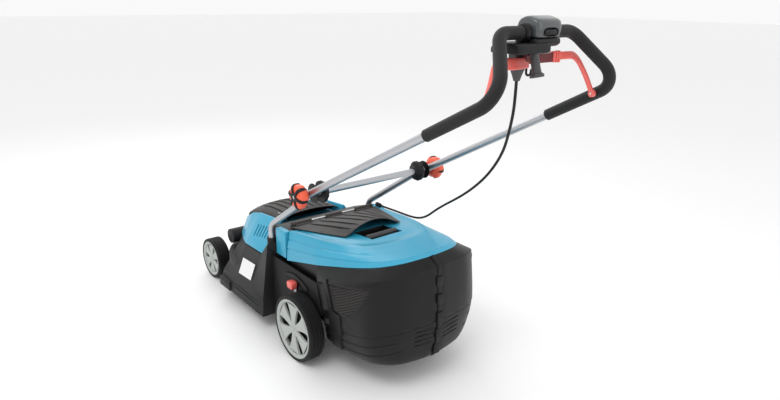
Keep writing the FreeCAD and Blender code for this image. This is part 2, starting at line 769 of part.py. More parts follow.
def handle_points():
    side = float(handle_side)
    lead = 10.0
    back = vec(s.corner_x, s.corner_side, s.corner_z) - vec(s.pivot_x, side, s.pivot_z)
    start = vec(s.pivot_x, side, s.pivot_z) - back.normalize() * lead
    half = [start, vec(s.corner_x, s.corner_side, s.corner_z), vec(s.bar_x, s.bar_side, s.bar_z)]
    return half + [vec(p.x, -p.y, p.z) for p in reversed(half)]


handle_radii = [float(s.bend_radius), float(s.bend_radius) * 0.8]
handle_radii += handle_radii[::-1]


def point_on_handle(x, sign=1.0):
    """Centre of the straight side tube at x."""
    start, corner = handle_points()[0:2]
    share = (float(x) - start.x) / (corner.x - start.x)
    at = start + (corner - start) * share
    return vec(at.x, sign * at.y, at.z)


bail_pivot = point_on_handle(s.bail_x)
bail_side = bail_pivot.y - float(s.grip_diameter / 2) - float(s.bail_rod) - 1.5


def pin_holes(shape):
    """Holes for the two clamp bolts and the two bail pins."""
    for side, sign in LEFT_AND_RIGHT:
        middle = sign * float(handle_side)
        shape = shape.cut(rod((s.pivot_x, middle - 20, s.pivot_z),
                              (s.pivot_x, middle + 20, s.pivot_z), bolt_radius + 0.05))
        inner = sign * (bail_side - 2.0)
        shape = shape.cut(rod((bail_pivot.x, inner, bail_pivot.z),
                              (bail_pivot.x, sign * bail_pivot.y, bail_pivot.z),
                              s.bail_pin / 2))
    return shape


def upper_handle():
    wire = route_wire(handle_points(), handle_radii)
    return pin_holes(swept_rod(wire, tube_radius).cut(swept_rod(wire, bore_radius)))


def foam_grip():
    points = handle_points()
    points[0] = point_on_handle(s.grip_start_x)
    points[-1] = point_on_handle(s.grip_start_x, -1.0)
    wire = route_wire(points, handle_radii)
    return pin_holes(swept_rod(wire, s.grip_diameter / 2).cut(swept_rod(wire, tube_radius)))


made("upper_handle", upper_handle())
made("foam_grip", foam_grip())
disc_in = s.leg_side + s.tube_diameter / 2
CLUTCH_RADIUS = 27.0
clutch_discs = []
clamp_bolts = []
for side, sign in LEFT_AND_RIGHT:
    outward = ALONG_Y * sign
    made(f"lower_handle_{side}", lower_tube(sign))
    clutch_discs.append(turned_body(f"clutch_disc_{side}", [
        (s.clamp_bolt / 2, 0.0), (CLUTCH_RADIUS, 0.0), (CLUTCH_RADIUS, s.clutch_wall - 1.0),
        (CLUTCH_RADIUS - 2.0, s.clutch_wall), (s.clamp_bolt / 2, s.clutch_wall),
    ], handle_pivot + outward * float(disc_in), outward))
    bolt_in = s.leg_side - s.tube_diameter / 2 - 12.0
    knob_in = handle_side + s.tube_diameter / 2 + s.side_gap
    bolt_length = knob_in + s.knob_width - 12.0 - bolt_in
    clamp_bolts.append(cylinder(f"clamp_bolt_{side}", s.clamp_bolt / 2, bolt_length,
                                handle_pivot + outward * float(bolt_in), outward))
    core = turned_body(f"clamp_knob_{side}_core", [
        (s.clamp_bolt / 2 + s.running_gap, 0.0), (16.0, 0.0), (s.knob_diameter / 2 - 6.0, 12.0),
        (s.knob_diameter / 2 - 6.0, s.knob_width - 6.0), (s.knob_diameter / 2 - 13.0, s.knob_width),
        (0.0, s.knob_width), (0.0, s.knob_width - 8.0),
        (s.clamp_bolt / 2 + s.running_gap, s.knob_width - 8.0),
    ], handle_pivot + outward * float(knob_in), outward)
    lobes = [core]
    for step in range(5):
        turn = math.radians(72.0 * step)
        at = handle_pivot + outward * (float(knob_in) + 10.0)
        reach = float(s.knob_diameter / 2) - 7.5
        at += vec(math.cos(turn) * reach, 0, math.sin(turn) * reach)
        lobes.append(cylinder(f"knob_lobe_{side}_{step}", 7.5, s.knob_width - 14.0, at, outward))
    keep(fuse(f"clamp_knob_{side}_joined", lobes), f"clamp_knob_{side}")
keep(group("clutch_disc_pair", clutch_discs), "clutch_discs")
keep(group("clamp_bolt_pair", clamp_bolts), "clamp_bolts")
cross_reach = s.leg_side - s.tube_diameter / 2
flange = 30.0
flange_wall = 13.0
crossbar_half = [
    (s.clamp_bolt / 2, 0.0), (9.5, 0.0), (9.5, cross_reach - flange_wall - 4.0),
    (flange - 4.0, cross_reach - flange_wall), (flange, cross_reach - flange_wall + 4.0),
    (flange, cross_reach), (s.clamp_bolt / 2, cross_reach),
]
crossbar = fuse("crossbar_joined", [
    turned_body("crossbar_left", crossbar_half, handle_pivot, ALONG_Y),
    turned_body("crossbar_right", crossbar_half, handle_pivot, ALONG_Y * -1.0),
])
keep(crossbar, "crossbar")

# ---- switch box ------------------------------------------------------------------------

bar = vec(s.bar_x, 0, s.bar_z)
grip_radius = float(s.grip_diameter / 2)
SHELL_LEFT = 38.0
SHELL_RIGHT = -42.0
BASE_LEFT = 96.0
BASE_RIGHT = -8.0
BASE_LOW = -39.0


def prism(outline, low_y, high_y):
    """An XZ outline relative to the crossbar, padded from low_y to high_y."""
    points = [(bar.x + x, low_y, bar.z + z) for x, z in outline]
    return Part.Face(polygon(points)).extrude(ALONG_Y * (high_y - low_y))


def switch_case():
    """Lower shell of the switch box: a trough under the crossbar on a wider base."""
    trough = [(-28, -11), (-30, -20), (-24, -27), (22, -27), (28, -18), (28, -11)]
    trough_in = [(-25, -10), (-27, -20), (-22, -24), (20, -24), (25, -17), (25, -10)]
    base = [(-34, -20), (-34, BASE_LOW), (40, BASE_LOW), (40, -28), (28, -20)]
    base_in = [(-31, -23), (-31, BASE_LOW + 3), (37, BASE_LOW + 3), (37, -30), (27, -23)]
    shape = prism(trough, SHELL_RIGHT, SHELL_LEFT).fuse(prism(base, BASE_RIGHT, BASE_LEFT))
    shape = shape.cut(prism(trough_in, SHELL_RIGHT + 3.0, SHELL_LEFT - 3.0))
    shape = shape.cut(prism(base_in, BASE_RIGHT + 3.0, BASE_LEFT - 3.0))
    collar = Part.makeCylinder(grip_radius + 4.5, 14.0, bar + ALONG_Y * SHELL_LEFT, ALONG_Y)
    sleeve = Part.makeCylinder(grip_radius + 3.0, SHELL_LEFT - SHELL_RIGHT,
                               bar + ALONG_Y * SHELL_RIGHT, ALONG_Y)
    shape = shape.fuse([collar, sleeve])
    shape = shape.cut(Part.makeCylinder(grip_radius, 300.0, bar - ALONG_Y * 150.0, ALONG_Y))
    shape = shape.cut(Part.makeCylinder(8.5, 60.0, inlet_at + inlet_axis * -6.0, inlet_axis))
    return shape.cut(Part.makeCylinder(7.0, 60.0, relief_at + UP * 6.0, UP * -1.0))


def switch_cover():
    """Upper shell of the switch box with the button recess in its rear face."""
    outer = [(-28, -10.7), (-31, 6), (-27, 26), (6, 34), (26, 22), (28, -10.7)]
    inner = [(-25, -11), (-28, 6), (-24.5, 23.5), (5, 31), (23.5, 20), (25, -11)]
    shape = prism(outer, SHELL_RIGHT, SHELL_LEFT - 0.3)
    shape = shape.cut(prism(inner, SHELL_RIGHT + 3.0, SHELL_LEFT - 3.3))
    window = prism([(-60, -5.3), (-20, -5.3), (-20, 8.3), (-60, 8.3)], -24.3, 18.3)
    shape = shape.cut(window)
    return shape.cut(Part.makeCylinder(grip_radius + 3.2, 300.0, bar - ALONG_Y * 150.0, ALONG_Y))


def hook(points, radii, radius):
    return swept_rod(route_wire(points, radii), radius)


inlet_at = bar + vec(-23, 36, -36)
inlet_axis = vec(-0.25, 0, -0.97).normalize()
relief_at = bar + vec(26, 23, BASE_LOW)
relief_tip = relief_at + vec(0, 0, -60)
made("switch_case", switch_case())
made("switch_cover", switch_cover())
made("switch_module", prism([(-18, -24), (-18, -34), (8, -34), (8, -24)], 0.0, 24.0))
keep(turned_body("power_inlet_turned", [
    (6.0, 4.0), (6.0, 50.0), (14.5, 50.0), (14.5, 43.0), (9.5, 40.0), (8.4, 14.0),
    (8.4, -4.0), (0.0, -4.0), (0.0, 4.0),
], inlet_at, inlet_axis), "power_inlet")
pins = []
for offset in (-3.0, 3.0):
    at = inlet_at + inlet_axis * 4.0 + ALONG_Y * offset
    pins.append(cylinder(f"inlet_pin_{len(pins)}", 1.6, 24.0, at, inlet_axis))
keep(group("inlet_pin_pair", pins), "inlet_pins")


def strain_relief():
    """A flat wedge under the switch box that narrows to the lead."""
    rows = []
    for down, half_x, half_y in ((0.3, 11.0, 20.0), (24.0, 10.0, 20.0), (60.0, 5.5, 5.5)):
        corners = ((half_x, half_y), (-half_x, half_y), (-half_x, -half_y), (half_x, -half_y))
        rows.append([tuple(relief_at + vec(x, y, -down)) for x, y in corners])
    return loft(rows).fuse(Part.makeCylinder(6.8, 5.0, relief_at - UP * 1.0, UP))


made("strain_relief", strain_relief())
button_low = bar + vec(-31, -23, -4)
keep(block("lock_off_blank", button_low, 8.0, 40.0, 11.0), "lock_off_button")
hook_top = bar + vec(26, -6, BASE_LOW - 0.4)
made("cord_hook", hook([hook_top, hook_top + vec(0, 0, -50), hook_top + vec(0, -16, -50),
                        hook_top + vec(0, -16, -38)], [7.0, 7.0], 2.5))
bail_bar = vec(s.bar_x + 4.0, 0, s.bar_z - 51.0)


def bail_lever():
    """A bent rod with a flat eye at each end, turning on the bail pins."""
    side = bail_side + float(s.bail_rod) / 2
    points = [(bail_pivot.x, side, bail_pivot.z), (bail_bar.x, side - 36, bail_bar.z),
              (bail_bar.x, 36 - side, bail_bar.z), (bail_pivot.x, -side, bail_pivot.z)]
    shape = swept_rod(route_wire(points, [26.0, 26.0]), s.bail_rod / 2)
    for side_name, sign in LEFT_AND_RIGHT:
        low = bail_side if sign > 0 else -bail_side - float(s.bail_rod)
        shape = shape.fuse(Part.makeCylinder(8, float(s.bail_rod),
                                             vec(bail_pivot.x, low, bail_pivot.z), ALONG_Y))
    reach = bail_side + 20
    return shape.cut(rod((bail_pivot.x, -reach, bail_pivot.z), (bail_pivot.x, reach, bail_pivot.z),
                         s.bail_pin / 2 + s.running_gap))


made("bail_lever", bail_lever())
bail_pins = []
for side, sign in LEFT_AND_RIGHT:
    start = vec(bail_pivot.x, sign * (bail_side - 2.0), bail_pivot.z)
    bail_pins.append(cylinder(f"bail_pin_{side}", s.bail_pin / 2, bail_pivot.y - bail_side + 2.0,
                              start, ALONG_Y * sign))
keep(group("bail_pin_pair", bail_pins), "bail_pins")

# ---- rear flap ---------------------------------------------------------------------------

hinge = vec(s.flap_hinge_x, 0, s.flap_hinge_z)


def flap_outline(x, half_width, height):
    """The flap's section at x: flat edges and an arch in the middle."""
    base = lid_z(x) + 1.6
    wall = 2.6
    steps = 12
    low = []
    for step in range(steps + 1):
        side = half_width * (1.0 - 2.0 * step / steps)
        rise = max(0.0, math.cos(min(abs(side) / (half_width * 0.9), 1.0) * math.pi / 2)) ** 0.8
        low.append((x, side, base + height * rise))
    high = [(px, py, pz + wall) for px, py, pz in low]
    return low + high[::-1]


def rear_flap():
    front = float(s.flap_hinge_x) - 7.0
    rear = float(s.flap_rear_x)
    middle = rear + (front - rear) * 0.45
    tail = float(s.flap_tail)
    wide = float(s.flap_side)
    shape = loft([flap_outline(front, wide, 0.4),
                  flap_outline(middle, tail + (wide - tail) * 0.5, float(s.flap_arch) * 0.62),
                  flap_outline(rear, tail, float(s.flap_arch))])
    for low, length in ((-144, 60), (-30, 60), (84, 60)):
        shape = shape.fuse(Part.makeCylinder(6.5, length, hinge + ALONG_Y * low, ALONG_Y))
        rib = solid_box((front - 8, low, lid_z(front) + 2.2), (hinge.x - 2, low + length, hinge.z))
        shape = shape.fuse(rib)
    return shape.cut(rod((hinge.x, -200, hinge.z), (hinge.x, 200, hinge.z), 3.06))


made("rear_flap", rear_flap())
keep(cylinder("flap_rod_bar", 3.0, 308.0, hinge - ALONG_Y * 154.0, ALONG_Y), "flap_rod")

# ---- grass box -----------------------------------------------------------------------------

BOX_SECTIONS = [
    (None, 0.4, [(-80, 190), (-150, 182), (-230, 168), (-292, 142), (-328, 94), (-340, 32)]),
    (None, 28.0, [(-88, 200), (-150, 208), (-240, 202), (-314, 180), (-356, 122), (-370, 36)]),
    (205.0, 0.0, [(-112, 199), (-170, 203), (-250, 202), (-322, 186), (-362, 128), (-378, 38)]),
    (140.0, 0.0, [(-118, 197), (-170, 199), (-250, 197), (-318, 181), (-358, 124), (-374, 38)]),
    (88.0, 0.0, [(-122, 190), (-170, 189), (-242, 182), (-306, 162), (-348, 112), (-364, 36)]),
    (68.0, 0.0, [(-128, 164), (-170, 162), (-228, 152), (-286, 130), (-324, 88), (-340, 30)]),
]


def inset(half, wall):
    """Move a half outline inwards by a wall."""
    points = []
    for index, (x, y) in enumerate(half):
        forward = -wall if index == 0 else wall
        points.append((x + forward, y - wall))
    return points


def box_form(wall):
    outlines = []
    side_scale = float(s.box_side) / 200.0
    for height, drop, half in BOX_SECTIONS:
        half = inset([(x, y * side_scale) for x, y in half], wall) if wall else half
        if not wall:
            half = [(x, y * side_scale) for x, y in half]
        points = []
        for x, y in half:
            z = rim_z(x) - drop if height is None else height
            if height is None and drop < 1.0 and wall:
                z += 2.0
            if height == BOX_SECTIONS[-1][0]:
                z = float(s.box_floor) + wall
            points.append((x, y, z))
        outlines.append(points + [(x, -y, z) for x, y, z in reversed(points)])
    return loft(outlines)


def grass_box():
    wall = float(s.shell_wall)
    side = float(s.duct_side)
    front = float(s.lid_front_x) - 8.0
    floor = float(s.duct_floor)
    neck = solid_box((-125, -side, floor), (front, side, 330))
    neck_inside = solid_box((-170, wall - side, floor + wall), (front + 1, side - wall, 340))
    above = [(120, -250, rim_z(120) - 0.4), (-500, -250, rim_z(-500) - 0.4), (-500, -250, 600),
             (120, -250, 600)]
    lid_space = Part.Face(polygon(above)).extrude(ALONG_Y * 500.0)
    outer = box_form(0.0).fuse(neck.cut(lid_space))
    shape = outer.cut(box_form(wall))
    return shape.cut(neck_inside.common(solid_box((-170, -300, 0), (200, 300, 400)))).cut(lid_space)


box_shape = grass_box()
left_space = solid_box((-500, 0, 0), (200, 300, 500))
right_space = solid_box((-500, -300, 0), (200, 0, 500))
made("box_shell_left", box_shape.common(left_space))
made("box_shell_right", box_shape.common(right_space))


def seam_clips():
    """Five clips that hold the two halves together along the rear seam."""
    clips = []
    blocked = box_form(0.0)
    for low, high, rear in ((92, 122, -378), (142, 172, -382), (190, 222, -385), (246, 274, -383),
                            (296, 324, -378)):
        clip = solid_box((rear, -11, low), (rear + 30, 11, high)).cut(blocked)
        clips.append(max(clip.Solids, key=lambda solid: solid.Volume))
    return Part.makeCompound(clips)


made("seam_clips", seam_clips())
LID_SECTIONS = [
    (0.0, 190, [(-80, 190), (-150, 182), (-230, 168), (-292, 142), (-328, 94), (-340, 32)]),
    (0.42, 187, [(-60, 186), (-148, 176), (-226, 160), (-282, 132), (-316, 88), (-326, 32)]),
    (0.72, 182, [(-56, 178), (-132, 164), (-200, 148), (-252, 120), (-284, 80), (-292, 30)]),
    (1.0, 176, [(-50, 162), (-112, 150), (-164, 130), (-200, 104), (-220, 66), (-226, 28)]),
]


def lid_form(wall):
    outlines = []
    for share, front_side, half in LID_SECTIONS:
        front = float(s.lid_front_x) - wall
        points = [(front, front_side - wall)] + [(x + wall, y - wall) for x, y in half]
        rows = []
        for x, y in points:
            low = rim_z(x) - (2.0 if wall and share == 0.0 else 0.0)
            high = lid_z(x) - wall
            rows.append((x, y, low + (high - low) * share))
        outlines.append(rows + [(x, -y, z) for x, y, z in reversed(rows)])
    return loft(outlines)


TRAY = (-158.0, -64.0, 56.0)


def box_lid():
    rear, front, side = TRAY
    shape = lid_form(0.0).cut(lid_form(float(s.shell_wall)))
    return shape.cut(solid_box((rear, -side, 330), (front, side, 420)))


def handle_tray():
    rear, front, side = TRAY
    gap = 0.2
    low = (rear + gap, gap - side, 330)
    high = (front - gap, side - gap, lid_z(front) - 1.0)
    shape = solid_box(low, high)
    return shape.cut(solid_box((rear + 3, 3 - side, 333), (front - 3, side - 3, 420)))


made("box_lid", box_lid())
made("handle_tray", handle_tray())
carry_z = lid_z(TRAY[0]) - 1.0
keep(cylinder("carry_handle_bar", 9.0, (TRAY[2] - 3.1) * 2, vec(-128, 3.1 - TRAY[2], carry_z - 6.0),
              ALONG_Y), "carry_handle")
feet = []
for y in (-92.0, 92.0):
    feet.append(turned_body(f"box_foot_{len(feet)}", [
        (0.0, 0.0), (13.0, 0.0), (10.0, 12.0), (0.0, 12.0),
    ], vec(-268, y, s.box_floor), UP * -1.0))
keep(group("box_feet_pair", feet), "box_feet")

# ---- motor lead ------------------------------------------------------------------------------

gland_at = vec(s.lid_front_x + 22.0, -181.0, 353.2)
keep(turned_body("cord_gland_turned", [
    (0.0, -12.0), (7.0, -12.0), (7.0, 4.0), (s.cord_diameter / 2 + 1.6, 12.0), (0.0, 12.0),
], gland_at, Vector(-1, 0, 0)), "cord_gland")
gland_tip = gland_at + vec(-12.0, 0, 0)
CORD_ROUTE = [
    (-600, 23, 857), (-600, 23, 829), (-595, 19, 790), (-578, 8, 744), (-550, -13, 697),
    (-508, -36, 648), (-456, -60, 600), (-398, -84, 556), (-340, -107, 517), (-288, -125, 485),
    (-238, -141, 455), (-190, -153, 423), (-148, -161, 391), (-104, -168, 370), (-58, -175, 361),
    (-14, -180, 357), (30, -182, 355), (62, -182, 353.6), (84, -181, 353.2), (100, -181, 353.2),
]


def motor_lead():
    points = [vec(*point) for point in CORD_ROUTE]
    points[0] = relief_tip
    points[-1] = gland_tip
    radii = []
    for index in range(1, len(points) - 1):
        back = points[index - 1] - points[index]
        ahead = points[index + 1] - points[index]
        turn = math.pi - back.getAngle(ahead)
        radii.append(0.45 * min(back.Length, ahead.Length) / math.tan(turn / 2))
    print("cord radii", [round(radius) for radius in radii])
    wire = route_wire(points, radii)
    tube = swept_rod(wire, s.cord_diameter / 2)
    section = math.pi * float(s.cord_diameter / 2) ** 2
    print("cord length", round(wire.Length, 1), "volume ratio", round(tube.Volume / (section * wire.Length), 4))
    return tube


made("motor_lead", motor_lead())

# ---- checks and export -------------------------------------------------------------------------

doc.recompute()
for obj in doc.Objects:
    if any(flag in obj.State for flag in ("Invalid", "Error")):
        raise RuntimeError(f"{obj.Label} failed: {obj.State}")
labels = [obj.Label for obj in NODES]
if len(labels) != len(set(labels)):
    raise RuntimeError("two sub-parts share a label")
for obj in NODES:
    if obj.Shape.isNull() or not obj.Shape.isValid() or not obj.Shape.Solids:
        raise RuntimeError(f"{obj.Label} has no valid solid")
os.makedirs("parts", exist_ok=True)
for obj in NODES:
    obj.Shape.exportStep(os.path.join("parts", obj.Label + ".step"))
print(len(NODES), "sub-parts written")
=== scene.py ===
import json
import math

import bmesh
import bpy
from mathutils import Matrix, Vector
from mathutils.bvhtree import BVHTree


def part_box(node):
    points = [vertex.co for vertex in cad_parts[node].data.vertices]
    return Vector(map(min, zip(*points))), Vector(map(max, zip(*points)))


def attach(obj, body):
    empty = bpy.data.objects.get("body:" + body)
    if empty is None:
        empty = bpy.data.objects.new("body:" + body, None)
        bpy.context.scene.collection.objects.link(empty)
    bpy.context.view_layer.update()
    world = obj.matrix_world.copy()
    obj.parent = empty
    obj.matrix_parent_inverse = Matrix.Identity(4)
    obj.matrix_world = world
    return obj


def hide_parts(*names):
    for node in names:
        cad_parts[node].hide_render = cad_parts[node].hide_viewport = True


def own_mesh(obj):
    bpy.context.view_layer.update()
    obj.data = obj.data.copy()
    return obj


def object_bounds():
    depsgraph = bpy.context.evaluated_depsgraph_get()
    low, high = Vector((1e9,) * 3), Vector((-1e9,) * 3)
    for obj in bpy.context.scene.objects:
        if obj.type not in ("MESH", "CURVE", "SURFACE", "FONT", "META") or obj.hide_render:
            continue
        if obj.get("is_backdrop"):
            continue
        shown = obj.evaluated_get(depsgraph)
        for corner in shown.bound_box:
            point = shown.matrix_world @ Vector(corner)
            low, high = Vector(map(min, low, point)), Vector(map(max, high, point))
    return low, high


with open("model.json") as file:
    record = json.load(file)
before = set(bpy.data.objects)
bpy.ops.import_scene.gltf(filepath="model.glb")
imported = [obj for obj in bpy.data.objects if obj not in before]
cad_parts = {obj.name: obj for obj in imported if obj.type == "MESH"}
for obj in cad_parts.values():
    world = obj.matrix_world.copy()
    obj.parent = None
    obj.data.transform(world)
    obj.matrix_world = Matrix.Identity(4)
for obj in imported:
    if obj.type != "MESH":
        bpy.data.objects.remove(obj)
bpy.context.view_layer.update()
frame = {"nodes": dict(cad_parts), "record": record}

MM = 0.001
scene = bpy.context.scene

# ---- camera, lights, floor -----------------------------------------------

YAW = 0.6894
PITCH = 0.3194
ROLL = 0.0118
LOOK = Vector((math.cos(YAW) * math.cos(PITCH), -math.sin(YAW) * math.cos(PITCH), -math.sin(PITCH)))
RIGHT = LOOK.cross(Vector((0, 0, 1))).normalized()
OVER = RIGHT.cross(LOOK)
side_axis = RIGHT * math.cos(ROLL) + OVER * math.sin(ROLL)
up_axis = OVER * math.cos(ROLL) - RIGHT * math.sin(ROLL)
camera_data = bpy.data.cameras.new("camera")
camera_data.sensor_width = 36.0
camera_data.lens = 28.5
camera_data.clip_end = 50.0
camera = bpy.data.objects.new("camera", camera_data)
scene.collection.objects.link(camera)
camera.matrix_world = (Matrix.Translation((-1.4311, 1.0430, 1.0218))
                       @ Matrix((side_axis, up_axis, -LOOK)).transposed().to_4x4())
scene.camera = camera
scene.view_settings.view_transform = "Standard"


def area_light(name, place, aim, size, power):
    """A rectangular lamp that looks at a point."""
    data = bpy.data.lights.new(name, "AREA")
    data.shape = "RECTANGLE"
    data.size, data.size_y = size
    data.energy = power
    lamp = bpy.data.objects.new(name, data)
    lamp.location = place
    lamp.rotation_mode = "QUATERNION"
    lamp.rotation_quaternion = (Vector(aim) - Vector(place)).to_track_quat("-Z", "Y")
    scene.collection.objects.link(lamp)


world = bpy.data.worlds.new("studio")
scene.world = world
world.use_nodes = True
world.node_tree.nodes["Background"].inputs[0].default_value = (1.0, 1.0, 1.0, 1)
world.node_tree.nodes["Background"].inputs[1].default_value = 0.95
area_light("key", (-0.6, 1.6, 2.6), (0, 0, 0.3), (1.8, 1.0), 22)
area_light("rear_fill", (-2.4, -0.9, 1.6), (-0.2, 0, 0.4), (1.0, 1.4), 3)
area_light("front_rim", (2.2, -0.6, 2.2), (0.2, 0, 0.4), (1.6, 1.6), 14)

# ---- materials -----------------------------------------------------------

MATERIALS = {}


def shade(name, color, rough, bump=(900.0, 0.12), tint=0.12, rough_spread=0.08, metallic=0.0,
          coat=0.0, stretch=(1, 1, 1), bump_depth=0.0004, specular=0.5, sheen=0.0):
    """Principled material with noise in its colour, its roughness and its bump."""
    made = bpy.data.materials.new(name)
    made.use_nodes = True
    nodes = made.node_tree.nodes
    links = made.node_tree.links
    surface = nodes["Principled BSDF"]
    for socket, value in (("Metallic", metallic), ("Coat Weight", coat), ("Coat Roughness", 0.12),
                          ("Specular IOR Level", specular), ("Sheen Weight", sheen)):
        surface.inputs[socket].default_value = value

    def add(kind, **values):
        node = nodes.new(kind)
        for socket, value in values.items():
            node.inputs[socket].default_value = value
        return node

    place = add("ShaderNodeTexCoord")
    scale = add("ShaderNodeMapping", Scale=stretch)
    links.new(place.outputs["Object"], scale.inputs["Vector"])
    broad = add("ShaderNodeTexNoise", Scale=14.0, Detail=6.0)
    links.new(scale.outputs["Vector"], broad.inputs["Vector"])
    fine = add("ShaderNodeTexNoise", Scale=bump[0], Detail=3.0)
    links.new(scale.outputs["Vector"], fine.inputs["Vector"])
    ramp = add("ShaderNodeMix")
    ramp.data_type = "RGBA"
    ramp.inputs["A"].default_value = (*[c * (1 - tint) for c in color], 1)
    ramp.inputs["B"].default_value = (*[min(1.0, c * (1 + tint)) for c in color], 1)
    links.new(broad.outputs["Fac"], ramp.inputs["Factor"])
    links.new(ramp.outputs["Result"], surface.inputs["Base Color"])
    spread = add("ShaderNodeMapRange")
    spread.inputs["To Min"].default_value = max(0.03, rough - rough_spread)
    spread.inputs["To Max"].default_value = rough + rough_spread
    links.new(broad.outputs["Fac"], spread.inputs["Value"])
    links.new(spread.outputs["Result"], surface.inputs["Roughness"])
    relief = add("ShaderNodeBump", Strength=bump[1], Distance=bump_depth)
    links.new(fine.outputs["Fac"], relief.inputs["Height"])
    links.new(relief.outputs["Normal"], surface.inputs["Normal"])
    MATERIALS[name] = made
    return made


shade("deck_plastic", (0.010, 0.010, 0.011), 0.52, (1100, 0.35), specular=0.28)
shade("hood_plastic", (0.036, 0.033, 0.032), 0.50, (1400, 0.25), specular=0.32)
shade("box_plastic", (0.004, 0.004, 0.0042), 0.40, (1300, 0.2), specular=0.26)
shade("teal_plastic", (0.030, 0.34, 0.52), 0.36, (500, 0.05), 0.03, 0.04, coat=0.1)
shade("wheel_grey", (0.40, 0.42, 0.40), 0.42, (900, 0.12), 0.05)
shade("tyre_rubber", (0.008, 0.008, 0.0085), 0.6, (700, 0.35), specular=0.25)
shade("tube_steel", (0.50, 0.51, 0.53), 0.40, (260, 0.10), 0.08, 0.07, 1.0, stretch=(0.25, 1, 1))
shade("zinc_steel", (0.36, 0.37, 0.38), 0.4, (300, 0.15), 0.15, 0.08, 1.0)
shade("bright_steel", (0.72, 0.72, 0.72), 0.2, (400, 0.05), 0.05, 0.05, 1.0)
shade("blade_paint", (0.05, 0.05, 0.052), 0.4, (300, 0.2), 0.15)
shade("motor_aluminium", (0.62, 0.62, 0.63), 0.42, (500, 0.2), 0.08, 0.08, 1.0)
shade("motor_iron", (0.20, 0.19, 0.19), 0.5, (400, 0.2), 0.2, 0.1, 1.0)
shade("grip_foam", (0.008, 0.008, 0.0085), 0.62, (1600, 0.6), 0.2, bump_depth=0.0006, sheen=0.08,
      specular=0.3)
shade("knob_red", (0.80, 0.105, 0.045), 0.36, (900, 0.1), 0.08, coat=0.1)
shade("bail_red", (0.83, 0.135, 0.11), 0.30, (900, 0.06), 0.06, coat=0.25)
shade("bail_dark", (0.13, 0.008, 0.010), 0.42, (900, 0.1), 0.1)
shade("switch_plastic", (0.006, 0.006, 0.0065), 0.42, (1300, 0.25), specular=0.28)
shade("switch_gloss", (0.055, 0.062, 0.066), 0.22, (1300, 0.06), 0.08, 0.04, coat=0.6)
shade("grey_plastic", (0.045, 0.045, 0.048), 0.36, (1200, 0.2))
shade("pin_brass", (0.78, 0.57, 0.26), 0.25, (500, 0.05), 0.05, 0.05, 1.0)
shade("label_film", (0.78, 0.78, 0.78), 0.35, (600, 0.05), 0.02)
shade("cord_rubber", (0.008, 0.008, 0.0085), 0.5, (900, 0.2), specular=0.3)
SLOT_OF = {part["node"]: part["material_slot"] for part in frame["record"]["subparts"]}
for name, obj in frame["nodes"].items():
    obj.data.materials.clear()
    obj.data.materials.append(MATERIALS[SLOT_OF[name]])

# ---- building helpers ----------------------------------------------------

SMOOTH = 38.0


def in_metres(points):
    """Points of a profile or an outline, from mm to metres."""
    return [(a * MM, b * MM) for a, b in points]


def mesh_object(name, verts, faces, weld=False):
    """A new object whose faces all point outwards."""
    data = bpy.data.meshes.new(name)
    data.from_pydata([tuple(v) for v in verts], [], faces)
    work = bmesh.new()
    work.from_mesh(data)
    if weld:
        bmesh.ops.remove_doubles(work, verts=work.verts, dist=1e-6)
    bmesh.ops.recalc_face_normals(work, faces=work.faces)
    work.to_mesh(data)
    work.free()
    piece = bpy.data.objects.new(name, data)
    scene.collection.objects.link(piece)
    return piece


def build(name, verts, faces, slot, body, replaces=(), smooth=SMOOTH, bevel=0.0, material=None):
    """A mesh piece in row-frame metres that rides on a body."""
    piece = mesh_object(name, verts, faces, weld=True)
    piece.data.materials.append(material or MATERIALS[slot])
    if bevel:
        edge = piece.modifiers.new("edge", "BEVEL")
        edge.width = bevel
        edge.segments = 3
        edge.limit_method = "ANGLE"
        edge.angle_limit = math.radians(28)
    settle(piece, smooth)
    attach(piece, body)
    if replaces:
        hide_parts(*replaces)
    return piece


def shade_smooth(data, limit, border):
    """Smooth shading, with sharp edges where faces meet at more than the limit in degrees."""
    work = bmesh.new()
    work.from_mesh(data)
    for face in work.faces:
        face.smooth = True
    for edge in work.edges:
        inside = len(edge.link_faces) == 2
        edge.smooth = edge.calc_face_angle(0.0) < math.radians(limit) if inside else border
    work.to_mesh(data)
    work.free()


def settle(piece, smooth=SMOOTH):
    """Apply the modifiers and shade the result."""
    graph = bpy.context.evaluated_depsgraph_get()
    graph.update()
    final = bpy.data.meshes.new_from_object(piece.evaluated_get(graph))
    old = piece.data
    piece.modifiers.clear()
    piece.data = final
    bpy.data.meshes.remove(old)
    shade_smooth(final, smooth, border=True)


def grid_faces(columns, rows, closed=False, start=0):
    """Quads of a grid stored row by row."""
    faces = []
    for row in range(rows - 1):
        for column in range(columns if closed else columns - 1):
            right = (column + 1) % columns
            a = start + row * columns + column
            b = start + row * columns + right
            faces.append((a, b, b + columns, a + columns))
    return faces


def closed_tube(columns, rows):
    """The sides and both ends of a tube stored ring by ring."""
    last = (rows - 1) * columns
    return grid_faces(columns, rows, closed=True) + [
        tuple(range(columns)), tuple(range(last, last + columns))]


def spline_point(a, b, c, d, t):
    """A point between b and c on a Catmull-Rom curve through four points."""
    return 0.5 * ((2 * b) + (c - a) * t + (2 * a - 5 * b + 4 * c - d) * t * t
                  + (3 * b - a - 3 * c + d) * t ** 3)


def curve_through(points, count):
    """Points along a Catmull-Rom curve through the given points."""
    pts = [Vector(p) for p in points]
    pts = [pts[0] * 2 - pts[1]] + pts + [pts[-1] * 2 - pts[-2]]
    spans = len(pts) - 3
    out = []
    for step in range(count):
        at = step / (count - 1) * spans
        k = min(int(at), spans - 1)
        out.append(spline_point(*pts[k:k + 4], at - k))
    return out


